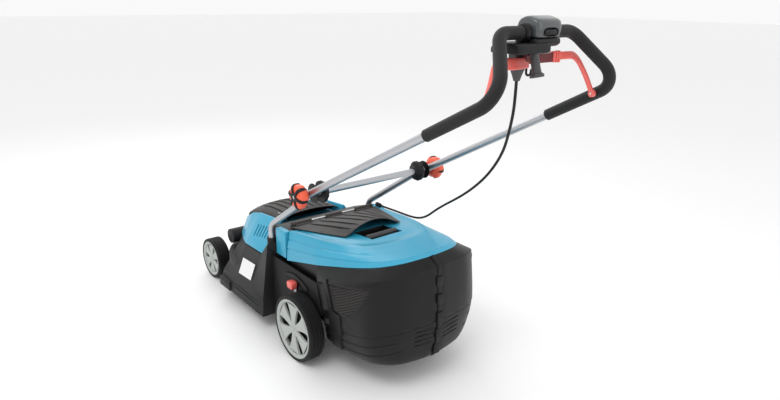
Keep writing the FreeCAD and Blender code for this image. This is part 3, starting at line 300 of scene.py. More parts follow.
def prism_mesh(outline, low, high, axis="y"):
    """An outline in the plane across an axis, extended from low to high."""
    verts = []
    for level in (low, high):
        for a, b in outline:
            verts.append({"y": (a, level, b), "x": (level, a, b), "z": (a, b, level)}[axis])
    count = len(outline)
    faces = [tuple(range(count)), tuple(range(2 * count - 1, count - 1, -1))]
    faces += [(i, (i + 1) % count, (i + 1) % count + count, i + count) for i in range(count)]
    return verts, faces


def joined(chunks):
    """Several meshes of verts and faces as one."""
    verts, faces = [], []
    for more_verts, more_faces in chunks:
        start = len(verts)
        verts += more_verts
        faces += [tuple(start + k for k in face) for face in more_faces]
    return verts, faces


def turned(name, profile, start, direction, slot, body, steps=48, lobes=None, **more):
    """A profile of (radius, height) turned about an axis; lobes(angle, height) scales radii."""
    way = Vector(direction).normalized()
    first = way.orthogonal().normalized()
    if abs(way.z) < 0.5:
        first = Vector((0, 0, 1)).cross(way).normalized()
    second = way.cross(first)
    verts = []
    for radius, height in profile:
        for step in range(steps):
            angle = 2 * math.pi * step / steps
            reach = radius * (lobes(angle, height) if lobes else 1.0)
            verts.append(Vector(start) + way * height
                         + (first * math.cos(angle) + second * math.sin(angle)) * reach)
    faces = grid_faces(steps, len(profile), closed=True)
    if profile[0][0] > 0:
        faces.append(tuple(range(steps)))
    if profile[-1][0] > 0:
        faces.append(tuple(range((len(profile) - 1) * steps, len(profile) * steps)))
    return build(name, verts, faces, slot, body, **more)


def swept(name, line, section, slot, body, up=(0, 0, 1), **more):
    """A band swept along points; section(share) gives (half width, half height, roundness)."""
    pts = [Vector(p) for p in line]
    ring = 20
    verts = []
    for index, point in enumerate(pts):
        ahead = pts[min(index + 1, len(pts) - 1)] - pts[max(index - 1, 0)]
        ahead.normalize()
        side = ahead.cross(Vector(up)).normalized()
        top = side.cross(ahead)
        wide, tall, power = section(index / (len(pts) - 1))
        for step in range(ring):
            angle = 2 * math.pi * step / ring
            c, s = math.cos(angle), math.sin(angle)
            a = math.copysign(abs(c) ** power, c) * wide
            b = math.copysign(abs(s) ** power, s) * tall
            verts.append(point + side * a + top * b)
    return build(name, verts, closed_tube(ring, len(pts)), slot, body, **more)


def rounded(corners, radius, steps=5):
    """A polygon with its corners rounded."""
    out = []
    count = len(corners)
    for index, corner in enumerate(corners):
        at = Vector(corner)
        back = (Vector(corners[index - 1]) - at)
        ahead = (Vector(corners[(index + 1) % count]) - at)
        cut = min(radius, back.length * 0.45, ahead.length * 0.45)
        start = at + back.normalized() * cut
        end = at + ahead.normalized() * cut
        for step in range(steps + 1):
            t = step / steps
            out.append(tuple(start * (1 - t) ** 2 + at * 2 * t * (1 - t) + end * t * t))
    return out


def smooth_step(low, high, value):
    """0 below low, 1 above high, and an even S between them."""
    share = min(1.0, max(0.0, (value - low) / (high - low)))
    return share * share * (3 - 2 * share)


def carve(piece, cutters, smooth=SMOOTH):
    """Cut temporary solids out of a piece."""
    for cutter in cutters:
        cut = piece.modifiers.new("cut", "BOOLEAN")
        cut.operation = "DIFFERENCE"
        cut.solver = "EXACT"
        cut.object = cutter
    settle(piece, smooth)
    for cutter in cutters:
        bpy.data.objects.remove(cutter)


# ---- motor lead ----------------------------------------------------------

LEAD_ROUTE = [
    (-0.600, 0.023, 0.857), (-0.600, 0.023, 0.829), (-0.595, 0.019, 0.790), (-0.578, 0.008, 0.744),
    (-0.550, -0.013, 0.697), (-0.508, -0.036, 0.648), (-0.456, -0.060, 0.600),
    (-0.398, -0.084, 0.556), (-0.340, -0.107, 0.517), (-0.288, -0.125, 0.485),
    (-0.238, -0.141, 0.455), (-0.190, -0.153, 0.423), (-0.148, -0.161, 0.391),
    (-0.104, -0.168, 0.370), (-0.058, -0.175, 0.361), (-0.014, -0.180, 0.357),
    (0.030, -0.182, 0.355), (0.062, -0.182, 0.3536), (0.084, -0.181, 0.3532),
    (0.100, -0.181, 0.3532),
]
lead_curve = bpy.data.curves.new("motor_lead_line", "CURVE")
lead_curve.dimensions = "3D"
spline = lead_curve.splines.new("NURBS")
spline.points.add(len(LEAD_ROUTE) - 1)
for point, place in zip(spline.points, LEAD_ROUTE):
    point.co = (*place, 1.0)
spline.order_u = 3
spline.use_endpoint_u = True
spline.resolution_u = 10
line_piece = bpy.data.objects.new("lead_line", lead_curve)
scene.collection.objects.link(line_piece)
line_mesh = bpy.data.meshes.new_from_object(line_piece)
LEAD_PATH = [tuple(v.co) for v in line_mesh.vertices]
bpy.data.objects.remove(line_piece)
LEAD_RADIUS = 0.0033
lead = swept("lead_cable", LEAD_PATH, lambda share: (LEAD_RADIUS, LEAD_RADIUS, 1.0), "cord_rubber",
             "mower_base", up=(0.3, 1, 0.2), replaces=("motor_lead",))
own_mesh(lead)

floor_data = bpy.data.meshes.new("floor")
floor_data.from_pydata([(-30, -30, 0), (30, -30, 0), (30, 30, 0), (-30, 30, 0)], [], [(0, 1, 2, 3)])
floor = bpy.data.objects.new("floor", floor_data)
scene.collection.objects.link(floor)
floor_data.materials.append(shade("floor_paint", (0.93, 0.93, 0.93), 0.6, (60, 0.02), 0.01))
floor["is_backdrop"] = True

# ---- grass box, in mm until a mesh is made -------------------------------


def rim_z(x):
    """Height of the joint between the box and its lid."""
    return 258.0 + 0.262 * (90.0 - x)


def lid_z(x):
    """Height of the lid's top edge."""
    return 350.0 + 0.09 * (90.0 - x)


# level, or None and a drop below the rim, and a half outline of (x, y)
BOX_SECTIONS = [
    (None, 0.4, [(-80, 190), (-150, 182), (-230, 168), (-292, 142), (-328, 94), (-340, 32)]),
    (None, 28.0, [(-88, 200), (-150, 208), (-240, 202), (-314, 180), (-356, 122), (-370, 36)]),
    (205.0, 0.0, [(-112, 199), (-170, 203), (-250, 202), (-322, 186), (-362, 128), (-378, 38)]),
    (140.0, 0.0, [(-118, 197), (-170, 199), (-250, 197), (-318, 181), (-358, 124), (-374, 38)]),
    (88.0, 0.0, [(-122, 190), (-170, 189), (-242, 182), (-306, 162), (-348, 112), (-364, 36)]),
    (68.0, 0.0, [(-128, 164), (-170, 162), (-228, 152), (-286, 130), (-324, 88), (-340, 30)]),
]
SPAN_STEPS = [26, 34, 30, 28, 30, 14]
ROW_STEPS = [14, 40, 34, 28, 10]


def outline_knots(half):
    """A half outline's corners, with those that close its curve at both ends."""
    pts = [Vector(p) for p in half]
    pts.append(Vector((pts[-1].x - 1.5, 0.0)))
    pts.append(Vector((pts[-2].x, -pts[-2].y)))
    pts.insert(0, pts[0] * 2 - pts[1])
    return pts


def outline_points(half):
    """A smooth outline from the front corner to the middle of the rear, (u, x, y)."""
    pts = outline_knots(half)
    out = []
    for span, steps in enumerate(SPAN_STEPS):
        for step in range(steps + (span == len(SPAN_STEPS) - 1)):
            t = step / steps
            point = spline_point(*pts[span:span + 4], t)
            out.append((span + t, point.x, max(point.y, 0.0)))
    return out


def line_height(line, u):
    """Height of a polyline of (u, z) at u, or None outside it."""
    for (u0, z0), (u1, z1) in zip(line, line[1:]):
        if u0 <= u <= u1:
            return z0 + (z1 - z0) * (u - u0) / (u1 - u0)
    return None


PANEL_LOW = [(-0.2, 179.3), (4.0, 258.9)]
PANEL_HIGH = [(-0.2, 252.2), (4.0, 333.3)]
STRIP_LOW = [(-0.2, 134.2), (3.0, 188.5)]
STRIP_HIGH = [(-0.2, 150.0), (3.0, 218.9)]
PANEL_END = [(222, 2.05), (314, 3.0)]
OUTSIDE = -50.0
SEAM_U = 5.78
# lines are of (u, z); u counts the corners passed from the front, z is in mm
# each groove: its line, half width and depth
GROOVES = [([(0.0, 128), (3.3, 186), (4.5, 193), (5.78, 197)], 2.2, 2.6),
           ([(0.0, 102), (3.3, 156), (4.0, 164)], 2.0, 2.2),
           ([(0.0, 84), (3.6, 128), (4.2, 134)], 2.0, 2.2)]
SLAT_HEIGHTS = (178, 164, 150, 136)


def in_panel(u, z):
    """How deep inside the vent panel a point is, in mm (negative outside)."""
    (low_z, low_u), (high_z, high_u) = PANEL_END
    end = low_u + (z - low_z) / (high_z - low_z) * (high_u - low_u)
    low, high = line_height(PANEL_LOW, u), line_height(PANEL_HIGH, u)
    if low is None:
        return OUTSIDE
    return min(z - low, high - z, (u - 0.10) * 60.0, (end - u) * 75.0)


def in_strip(u, z):
    """The same for the narrow mesh strip below the panel."""
    low, high = line_height(STRIP_LOW, u), line_height(STRIP_HIGH, u)
    if low is None:
        return OUTSIDE
    return min(z - low, high - z, (u - 0.08) * 60.0, (1.82 - u) * 70.0)


def box_relief(u, z):
    """Outward offset of the moulded wall in mm."""
    depth = in_panel(u, z)
    out = 1.6 * smooth_step(-13.0, -9.0, depth) * (1 - smooth_step(-4.0, -1.0, depth))
    out -= 3.4 * smooth_step(-2.0, 2.0, depth)
    strip = in_strip(u, z)
    out -= 2.6 * smooth_step(-1.5, 1.5, strip)
    for line, wide, deep in GROOVES:
        at = line_height(line, u)
        if at is not None:
            end = min((line[-1][0] - u) * 30.0, 4.0)
            away = abs(z - at)
            out -= deep * (1 - smooth_step(wide * 0.4, wide * 1.3, away)) * smooth_step(0, 4, end)
    first = line_height(GROOVES[0][0], min(u, SEAM_U))
    out -= 1.5 * (1 - smooth_step(first - 4.0, first, z))
    for height in SLAT_HEIGHTS:
        away = abs(z - height - (5.2 - u) * 2.0)
        share = min((u - 4.45) * 40.0, (5.5 - u) * 40.0)
        out -= 2.4 * (1 - smooth_step(1.4, 3.2, away)) * smooth_step(0.0, 4.0, share)
    return out


def box_half(side, sign):
    """One half of the grass box: a moulded outer skin, an inner skin and the edges between."""
    wall = 4.6
    seam = 0.15
    duct_side, duct_floor = 182.0, 130.0
    front_columns = 4
    curves = [outline_points(half) for _, _, half in BOX_SECTIONS]
    columns = len(curves[0])
    heights = []
    for (level, drop, _), curve in zip(BOX_SECTIONS, curves):
        heights.append([rim_z(x) - drop if level is None else level for _, x, _ in curve])
    outer, inner = [], []
    rows = 0
    for span, steps in enumerate(ROW_STEPS):
        last = span == len(ROW_STEPS) - 1
        for step in range(steps + last):
            t = step / steps
            rows += 1
            low_row, high_row = [], []
            for column in range(columns):
                ends = [Vector((curves[k][column][1], curves[k][column][2], heights[k][column]))
                        for k in (max(span - 1, 1) if span else 0, span, span + 1,
                                  min(span + 2, len(curves) - 1))]
                point = spline_point(*ends, t) if span else ends[1].lerp(ends[2], t)
                ahead = curves[span][min(column + 1, columns - 1)]
                back = curves[span][max(column - 1, 0)]
                along = Vector((ahead[1] - back[1], ahead[2] - back[2], 0.0)).normalized()
                if column == columns - 1:
                    along = Vector((0.0, -1.0, 0.0))
                outward = Vector((along.y, -along.x, 0.0))
                if outward.y < 0 and column < 20:
                    outward = -outward
                if column >= 20 and outward.x > 0:
                    outward = -outward
                u = curves[span][column][0]
                relief = box_relief(u, point.z) if span else -1.0 * (1 - smooth_step(0, 0.12, t))
                moved = point + outward * relief
                moved.y = max(moved.y, seam)
                low_row.append(moved)
                inside = point - outward * wall
                inside.y = max(inside.y, seam)
                inside.z = max(inside.z, 72.0) if span < 4 else inside.z + 4.0
                high_row.append(inside)
            outer.append(low_row)
            inner.append(high_row)
    for share in (0.75, 0.5, 0.25, 0.0):
        for skin in (outer, inner):
            skin.append([Vector((p.x, max(p.y * share, seam), p.z)) for p in skin[rows - 1]])
    for rows_of, shift in ((outer, 0.0), (inner, wall)):
        for index, row in enumerate(rows_of):
            first = row[0]
            edge = duct_side if first.z > duct_floor else seam
            front = []
            for k in range(front_columns):
                y = min(edge, first.y) + max(first.y - edge, 0.0) * k / front_columns
                front.append(Vector((first.x - shift, y, first.z)))
            row[0] = Vector((first.x - shift, first.y, first.z))
            rows_of[index] = front + row
    columns += front_columns
    total = len(outer)
    verts = [Vector((p.x, p.y * sign, p.z)) * MM for row in outer + inner for p in row]
    faces = grid_faces(columns, total)
    size = total * columns
    faces += grid_faces(columns, total, start=size)
    ring = list(range(columns))
    ring += [row * columns + columns - 1 for row in range(1, total)]
    ring += [(total - 1) * columns + k for k in range(columns - 2, -1, -1)]
    ring += [row * columns for row in range(total - 2, 0, -1)]
    for a, b in zip(ring, ring[1:] + ring[:1]):
        faces.append((a, b, b + size, a + size))
    build(f"box_half_{side}", verts, faces, "box_plastic", "grass_box",
          replaces=(f"box_shell_{side}",), smooth=42)


def wall_place(u, z, offset):
    """A point on the left wall at outline position u and height z, moved outwards."""
    sections = []
    for level, drop, half in BOX_SECTIONS[1:5]:
        k = min(int(u), 5)
        t = u - k
        a, b, c, d = outline_knots(half)[k:k + 4]
        at = spline_point(a, b, c, d, t)
        along = 0.5 * ((c - a) + 2 * (2 * a - 5 * b + 4 * c - d) * t
                       + 3 * (3 * b - a - 3 * c + d) * t * t)
        sections.append((at, along.normalized(), rim_z(at.x) - drop if level is None else level))
    k = next((k for k in range(2) if z >= sections[k + 1][2]), 2)
    above, first, second, below = (sections[max(k - 1, 0)], sections[k], sections[k + 1],
                                   sections[min(k + 2, 3)])
    t = (z - first[2]) / (second[2] - first[2])
    at = spline_point(above[0], first[0], second[0], below[0], t)
    outward = Vector((first[1].y, -first[1].x))
    if outward.y < 0:
        outward = -outward
    at = at + outward * offset
    return Vector((at.x, at.y, z))


def lattice(side, sign):
    """Crossing bars over the recessed vent fields of one wall."""
    verts, faces = [], []
    spacing, step_u, span_mm, rise = 7.6, 0.02, 68.0, 0.62
    for inside, wide, tall in ((in_panel, 1.25, 0.9), (in_strip, 1.1, 0.8)):
        for slope in (1.0, -1.0):
            base = 150.0 if slope > 0 else 90.0
            for number in range(-42, 92):
                run = []
                for step in range(161):
                    u = step * step_u
                    z = base + number * spacing + slope * u * span_mm * rise
                    if 60 < z < 330 and inside(u, z) > -0.5:
                        run.append(wall_place(u, z, -1.9))
                    elif len(run) > 1:
                        break
                    else:
                        run = []
                if len(run) < 3:
                    continue
                run = run[::2] + ([run[-1]] if len(run) % 2 == 0 else [])
                start = len(verts)
                for index, point in enumerate(run):
                    ahead = run[min(index + 1, len(run) - 1)] - run[max(index - 1, 0)]
                    ahead.normalize()
                    level = Vector((ahead.x, ahead.y, 0))
                    outward = Vector((0, 0, 1)).cross(level).normalized()
                    if outward.y < 0:
                        outward = -outward
                    across = ahead.cross(outward).normalized()
                    for a, b in ((-wide, -1.4), (-wide, 0.2), (0.0, tall), (wide, 0.2),
                                 (wide, -1.4)):
                        verts.append(point + across * a + outward * b)
                faces += grid_faces(5, len(run), closed=True, start=start)
    verts = [Vector((v.x, v.y * sign, v.z)) * MM for v in verts]
    piece = mesh_object(f"vent_lattice_{side}", verts, faces)
    piece.data.materials.append(MATERIALS["hood_plastic"])
    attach(piece, "grass_box")


for side, sign in (("left", 1), ("right", -1)):
    box_half(side, sign)
    lattice(side, sign)

neck_verts = []
for x in (-125.0, 82.0):
    top = min(rim_z(x) - 0.6, 330.0)
    for y, z in ((182, top), (182, 130), (-182, 130), (-182, top), (-179, top), (-179, 133),
                 (179, 133), (179, top)):
        neck_verts.append(Vector((x, y, z)) * MM)
neck_faces = [(i, (i + 1) % 8, (i + 1) % 8 + 8, i + 8) for i in range(8)]
neck_faces += [(0, 1, 6, 7), (1, 2, 5, 6), (2, 3, 4, 5), (8, 9, 14, 15), (9, 10, 13, 14),
               (10, 11, 12, 13)]
build("box_neck", neck_verts, neck_faces, "box_plastic", "grass_box")

# seam strip: a raised bead with clip tabs
SEAM = 6.0
strip_line = []
for step in range(60):
    z = 88 + step / 59 * (rim_z(-375) - 30 - 88)
    strip_line.append(Vector((wall_place(SEAM, z, 0.0).x, 0.0, z)))
strip_line.insert(0, Vector((strip_line[0].x + 8.0, 0.0, 79.0)))
strip_line.append(Vector((-343.0, 0.0, rim_z(-343))))
swept("seam_strip", [p * MM for p in strip_line], lambda share: (6.5 * MM, 2.6 * MM, 0.45),
      "box_plastic", "grass_box", up=(-1, 0, 0))
clips = []
for low, high, limit in ((92, 122, -378), (142, 172, -382), (190, 222, -385), (246, 274, -383),
                         (296, 324, -378)):
    x = wall_place(SEAM, (low + high) / 2, 0.0).x
    outline = rounded([(-10.5, low), (10.5, low), (10.5, high), (-10.5, high)], 4.0, 4)
    clips.append(prism_mesh(in_metres(outline), (x + 6.0) * MM,
                            max(x - 7.0, limit) * MM, axis="x"))
build("clip_tabs", *joined(clips), "switch_plastic", "grass_box", replaces=("seam_clips",),
      bevel=0.0012, smooth=50)

# ---- lid -----------------------------------------------------------------

LID_SECTIONS = [
    (0.0, 190, [(-80, 190), (-150, 182), (-230, 168), (-292, 142), (-328, 94), (-340, 32)]),
    (0.42, 187, [(-60, 186), (-148, 176), (-226, 160), (-282, 132), (-316, 88), (-326, 32)]),
    (0.72, 182, [(-56, 178), (-132, 164), (-200, 148), (-252, 120), (-284, 80), (-292, 30)]),
    (1.0, 176, [(-50, 162), (-112, 150), (-164, 130), (-200, 104), (-220, 66), (-226, 28)]),
]
# rows between the sections: (section, share of the way to the next, outward step in mm)
LID_PROFILE = [
    (0, 0.0, 0.0), (0, 0.06, 0.0), (0, 0.5, 0.0), (0, 0.86, 0.0), (0, 0.94, -1.6), (0, 1.0, -1.6),
    (1, 0.06, 0.0), (1, 0.14, 0.4), (1, 0.5, 0.4), (1, 0.88, 0.2), (1, 0.97, -1.2),
    (2, 0.05, -1.2), (2, 0.14, 0.4), (2, 0.4, 0.8), (2, 0.7, 0.8), (2, 0.92, 0.5), (2, 1.0, 0.0),
]
# rows of the lid's top: (share of the way out from the middle, drop in mm)
LID_TOP = [(0.955, 0.0), (0.94, 1.8), (0.86, 2.2), (0.84, 0.6), (0.6, 0.2), (0.3, 0.0), (0.0, 0.0)]
LID_FRONT_X = 90.0


def lid_shell():
    """The lid's outer skin, with stepped bands round it and a ledge on its top."""
    curves = []
    for share, side, half in LID_SECTIONS:
        curve = outline_points(half)
        first = curve[0]
        front = [(-1.0, LID_FRONT_X + (first[1] - LID_FRONT_X) * k / 12,
                  side + (first[2] - side) * k / 12) for k in range(12)]
        curves.append(front + curve)
    columns = len(curves[0])
    rows = []
    for span, t, lift in LID_PROFILE:
        row = []
        share = LID_SECTIONS[span][0] + (LID_SECTIONS[span + 1][0] - LID_SECTIONS[span][0]) * t
        for column in range(columns):
            a, b = curves[span][column], curves[span + 1][column]
            x = a[1] + (b[1] - a[1]) * t
            y = a[2] + (b[2] - a[2]) * t
            low, high = rim_z(x), lid_z(x)
            ahead = curves[span][min(column + 1, columns - 1)]
            back = curves[span][max(column - 1, 0)]
            along = Vector((ahead[1] - back[1], ahead[2] - back[2])).normalized()
            if column == columns - 1:
                along = Vector((0.0, -1.0))
            outward = Vector((along.y, -along.x))
            if outward.dot(Vector((x + 60, y))) < 0:
                outward = -outward
            row.append(Vector((x + outward.x * lift, max(y + outward.y * lift, 0.0),
                               low + (high - low) * share + min(lift, 0.0) * 0.4)))
        rows.append(row)
    top = rows[-1]
    for share, drop in LID_TOP:
        row = []
        for p in top:
            along_x = share if share > 0.8 else 0.84 + (share - 0.84) * 0.12
            x = LID_FRONT_X + (p.x - LID_FRONT_X) * along_x
            y = p.y * share
            row.append(Vector((x, y, lid_z(x) - drop)))
        rows.append(row)
    full = [row + [Vector((p.x, -p.y, p.z)) for p in reversed(row[:-1])] for row in rows]
    verts = [p * MM for row in full for p in row]
    return build("lid_shell", verts, grid_faces(len(full[0]), len(full)), "teal_plastic",
                 "grass_box", replaces=("box_lid",), smooth=24)


lid = lid_shell()
thick = lid.modifiers.new("wall", "SOLIDIFY")
thick.thickness = 0.0028
thick.offset = -1.0
TRAY = [(-0.158, -0.056), (-0.064, -0.056), (-0.064, 0.056), (-0.158, 0.056)]
carve(lid, [mesh_object("tray_cut", *prism_mesh(TRAY, 0.30, 0.45, axis="z"))], smooth=24)
# ---- wheels --------------------------------------------------------------


def wheel_ring(profile, centre, sign, steps=72):
    """A closed profile of (radius, distance outwards) in mm, turned about a wheel's axis."""
    verts = []
    for radius, out in profile:
        for step in range(steps):
            a = 2 * math.pi * step / steps
            verts.append(Vector((centre[0] + radius * math.cos(a), centre[1] + sign * out,
                                 centre[2] + radius * math.sin(a))) * MM)
    faces = grid_faces(steps, len(profile), closed=True)
    count = len(profile)
    faces += [((count - 1) * steps + k, (count - 1) * steps + (k + 1) % steps, (k + 1) % steps, k)
              for k in range(steps)]
    return verts, faces


def spokes(centre, sign, hub, inner, level, depth):
    """Six spokes that narrow from the rim to a waist and widen again at the hub."""
    verts, faces = [], []
    for number in range(6):
        turn = math.radians(60 * number + 30)
        rows = []
        for share in (0.0, 0.15, 0.35, 0.6, 0.8, 0.92, 1.0):
            radius = hub + (inner - hub) * share
            wide = 7.4 + (inner * 0.335 - 7.4) * share ** 1.5 + 2.0 * (1 - share) ** 4
            if share > 0.9:
                wide *= 1.0 + (share - 0.9) * 1.6
            rows.append((radius, wide))
        start = len(verts)
        for out in (level, level - depth):
            for sense in (-1, 1):
                for radius, wide in rows:
                    a = turn + sense * math.asin(min(0.99, wide / radius))
                    crown = out - (1.2 * (1 - radius / inner) if out == level else 0)
                    verts.append(Vector((centre[0] + radius * math.cos(a),
                                         centre[1] + sign * crown,
                                         centre[2] + radius * math.sin(a))) * MM)
        n = len(rows)
        front, back = (start, start + n), (start + 2 * n, start + 3 * n)
        for k in range(n - 1):
            for a, b in (front, back[::-1], (front[0], back[0]), (front[1], back[1])):
                faces.append((a + k, a + k + 1, b + k + 1, b + k))
        for k in (0, n - 1):
            faces.append((front[0] + k, front[1] + k, back[1] + k, back[0] + k))
    return verts, faces


WHEELS = (("rear", -32.0, 100.0, 253.5), ("front", 646.0, 75.0, 203.5))
TYRE_WIDTH = 50.0
for end, ax, radius, track in WHEELS:
    for side, sign in (("left", 1), ("right", -1)):
        centre = (ax, sign * (track - TYRE_WIDTH), radius)
        rim, inner = radius - 10.0, radius - 18.0
        body = f"{end}_{side}_wheel"
        ring = wheel_ring([(rim, 3.0), (rim, 47.0), (rim - 1.4, 48.9), (rim - 4.4, 49.0),
                           (inner + 1.0, 46.6), (inner - 2.6, 44.6), (inner - 2.6, 38.6),
                           (inner - 0.5, 37.0), (inner, 3.0)], centre, sign)
        hub = wheel_ring([(7.2, 2.0), (15.5, 2.0), (17.0, 30.0), (19.0, 41.5), (17.5, 45.4),
                          (13.5, 46.6), (12.6, 45.8), (8.0, 45.4), (7.2, 44.0)], centre, sign, 48)
        cap = wheel_ring([(0.05, 38.0), (7.6, 38.0), (7.6, 45.8), (5.6, 46.9), (0.05, 47.0)],
                         centre, sign, 32)
        face = spokes(centre, sign, 15.0, inner - 1.6, 45.2, 7.5)
        build(f"wheel_face_{end}_{side}", *joined([ring, hub, cap, face]), "wheel_grey", body,
              replaces=(f"wheel_{end}_{side}",), smooth=32, bevel=0.0009)
        # painted shade: a black disc set behind the spokes, so the open windows between them read
        # dark
        window_shade = wheel_ring([(16.0, 33.0), (inner - 1.0, 33.0), (inner - 1.0, 29.0), (16.0, 29.0)],
                         centre, sign)
        build(f"wheel_window_shade_{end}_{side}", *window_shade, "wheel_grey", body,
              material=MATERIALS["switch_plastic"])
        profile = [(rim, 1.5), (rim + 4.0, 0.2), (radius - 4.0, 0.2), (radius - 1.0, 2.2),
                   (radius, 5.0)]
        for groove in (14.0, 25.0, 36.0):
            profile += [(radius, groove - 1.6), (radius - 1.8, groove - 0.9),
                        (radius - 1.8, groove + 0.9), (radius, groove + 1.6)]
        profile += [(radius, 45.0), (radius - 1.0, 47.6), (radius - 4.0, 49.5), (rim + 3.0, 49.5),
                    (rim + 0.2, 48.4)]
        build(f"tyre_tread_{end}_{side}", *wheel_ring(profile, centre, sign, 96), "tyre_rubber",
              body, replaces=(f"tyre_{end}_{side}",), smooth=35)
# ---- moulded covers with worn edges --------------------------------------


def soften(node, body, width, limit=24.0):
    """A copy of a moulded CAD part with its flat faces joined and its edges rounded."""
    source = frame["nodes"][node]
    data = source.data.copy()
    work = bmesh.new()
    work.from_mesh(data)
    bmesh.ops.remove_doubles(work, verts=work.verts, dist=2e-5)
    bmesh.ops.dissolve_limit(work, angle_limit=math.radians(1.2), verts=work.verts,
                             edges=work.edges)
    work.to_mesh(data)
    work.free()
    data.materials.clear()
    data.materials.append(MATERIALS[SLOT_OF[node]])
    piece = bpy.data.objects.new(f"{node}_moulding", data)
    scene.collection.objects.link(piece)
    edge = piece.modifiers.new("edge", "BEVEL")
    edge.width = width
    edge.segments = 2
    edge.limit_method = "ANGLE"
    edge.angle_limit = math.radians(limit)
    edge.use_clamp_overlap = True
    settle(piece)
    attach(piece, body)
    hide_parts(node)
    return piece


for obj in frame["nodes"].values():
    shade_smooth(obj.data, 32.0, border=False)

# ---- clamp knobs ---------------------------------------------------------

PIVOT = Vector((-84.0, 0.0, 517.0))
knob_low, knob_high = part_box("clamp_knob_left")
KNOB_IN, KNOB_OUT = knob_low[1] / MM, knob_high[1] / MM


def star(angle, height):
    """Six soft lobes round a knob."""
    return 1.0 + 0.045 * math.cos(6 * angle)


ARM_WIDTHS = (3.6, 4.4, 4.6, 4.8, 5.0, 4.6, 3.6, 2.6)
ARM_RING = 12
for side, sign in (("left", 1), ("right", -1)):
    out = (0, sign, 0)
    body = f"knob_{side}"
    base = PIVOT + Vector((0, sign * KNOB_IN, 0))
    reach = KNOB_OUT - KNOB_IN
    turned(f"knob_body_{side}", in_metres([
        (6.0, 0.0), (18.0, 0.0), (21.0, 1.5), (26.0, 7.0), (31.0, 10.5), (33.0, 14.0), (33.4, 24.0),
        (32.0, 29.0), (28.0, 32.5), (20.0, 34.0), (6.5, 34.5), (6.0, 33.0), (6.0, 26.0)]),
        base * MM, out, "knob_red", body, steps=72, lobes=star,
        replaces=(f"clamp_knob_{side}",), smooth=45)
    chunks = []
    for number in range(6):
        a = math.radians(60 * number + 12)
        radial = Vector((math.cos(a), 0, math.sin(a)))
        line = [(6.5, reach - 2.6), (14.0, reach - 2.2), (22.0, reach - 2.6), (28.0, reach - 4.6),
                (32.2, reach - 9.0), (33.4, reach - 15.0), (33.2, 15.0), (31.0, 11.5)]
        verts = []
        pts = [base + radial * r + Vector(out) * h for r, h in line]
        cross = radial.cross(Vector(out)).normalized()
        for k, p in enumerate(pts):
            ahead = (pts[min(k + 1, len(pts) - 1)] - pts[max(k - 1, 0)]).normalized()
            up = cross.cross(ahead)
            for step in range(ARM_RING):
                t = 2 * math.pi * step / ARM_RING
                c, s = math.cos(t), math.sin(t)
                verts.append((p + cross * math.copysign(abs(c) ** 0.6, c) * ARM_WIDTHS[k]
                              + up * math.copysign(abs(s) ** 0.6, s) * 2.0) * MM)
        chunks.append((verts, closed_tube(ARM_RING, len(pts))))
    ring = wheel_ring([(5.6, 28.0), (5.6, reach - 0.4), (8.5, reach), (12.0, reach - 0.6),
                       (12.6, 30.0)], (PIVOT.x, sign * KNOB_IN, PIVOT.z), sign, 40)
    build(f"knob_star_{side}", *joined(chunks + [ring]), "switch_plastic", body, smooth=40)
    turned(f"knob_screw_{side}", in_metres([
        (0.05, 20.0), (5.2, 20.0), (5.2, 35.6), (4.2, 36.4), (2.4, 36.4), (2.2, 34.6),
        (0.05, 34.6)]), base * MM, out, "bright_steel", body, steps=24)

# crossbar between the knobs, with dark end flanges
crossbar_line = [PIVOT + Vector((0, y, 0)) for y in (-176.0, -90.0, 0.0, 90.0, 176.0)]
swept("crossbar_tube", [p * MM for p in crossbar_line], lambda share: (9.5 * MM, 9.5 * MM, 1.0),
      "tube_steel", "mower_base", replaces=("crossbar",), smooth=60)


def flange_lobes(angle, height):
    """Shallow notches in the flange's outer disc only."""
    return 1.0 - (0.05 * (abs(math.cos(3 * angle)) < 0.35) if height > 0.163 else 0.0)


for side, sign in (("left", 1), ("right", -1)):
    turned(f"crossbar_flange_{side}", in_metres([
        (9.6, 156.0), (13.0, 156.6), (15.0, 161.0), (25.0, 164.6), (28.4, 166.4), (30.0, 168.6),
        (30.0, 176.4), (28.6, 177.8), (4.2, 177.8), (4.2, 172.0)]),
        PIVOT * MM, (0, sign, 0), "switch_plastic", "mower_base", steps=72, lobes=flange_lobes,
        smooth=35)

# toothed clutch discs between the tubes
for side, sign in (("left", 1), ("right", -1)):
    start = PIVOT + Vector((0, sign * 198.0, 0))
    turned(f"clutch_ring_{side}", in_metres([
        (4.0, 0.0), (25.5, 0.0), (27.0, 0.8), (27.0, 1.6), (25.0, 2.2), (24.5, 2.6), (4.0, 2.6)]),
        start * MM, (0, sign, 0), "switch_plastic", "mower_base", steps=120,
        lobes=lambda a, h: 1.0 - 0.012 * (math.sin(30 * a) > 0),
        replaces=("clutch_discs",), smooth=30)

# ---- bail lever ----------------------------------------------------------

BAIL_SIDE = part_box("bail_lever")[1][1] / MM - 4.5
BAR_X, BAR_Z = -622.0, 905.0
arm = [(-652.0, BAIL_SIDE, 821.0), (-648.5, BAIL_SIDE - 4.0, 832.0),
       (-641.0, BAIL_SIDE - 12.0, 856.0), (-632.0, BAIL_SIDE - 22.0, 880.0),
       (-626.0, BAIL_SIDE - 31.0, 895.0), (-622.5, BAIL_SIDE - 44.0, 903.5),
       (-622.0, BAIL_SIDE - 62.0, 905.0)]
right_arm = [(x, -y, z) for x, y, z in arm] + [(-622.0, -70.0, 905.0)]
left_arm = [(-652.0, BAIL_SIDE, 821.0), (-649.0, BAIL_SIDE - 6.0, 831.0),
            (-642.0, BAIL_SIDE - 22.0, 852.0), (-633.0, BAIL_SIDE - 42.0, 875.0),
            (-626.0, BAIL_SIDE - 60.0, 892.0), (-623.0, 92.0, 897.0), (-623.0, 66.0, 896.0),
            (-623.0, 22.0, 896.0)]


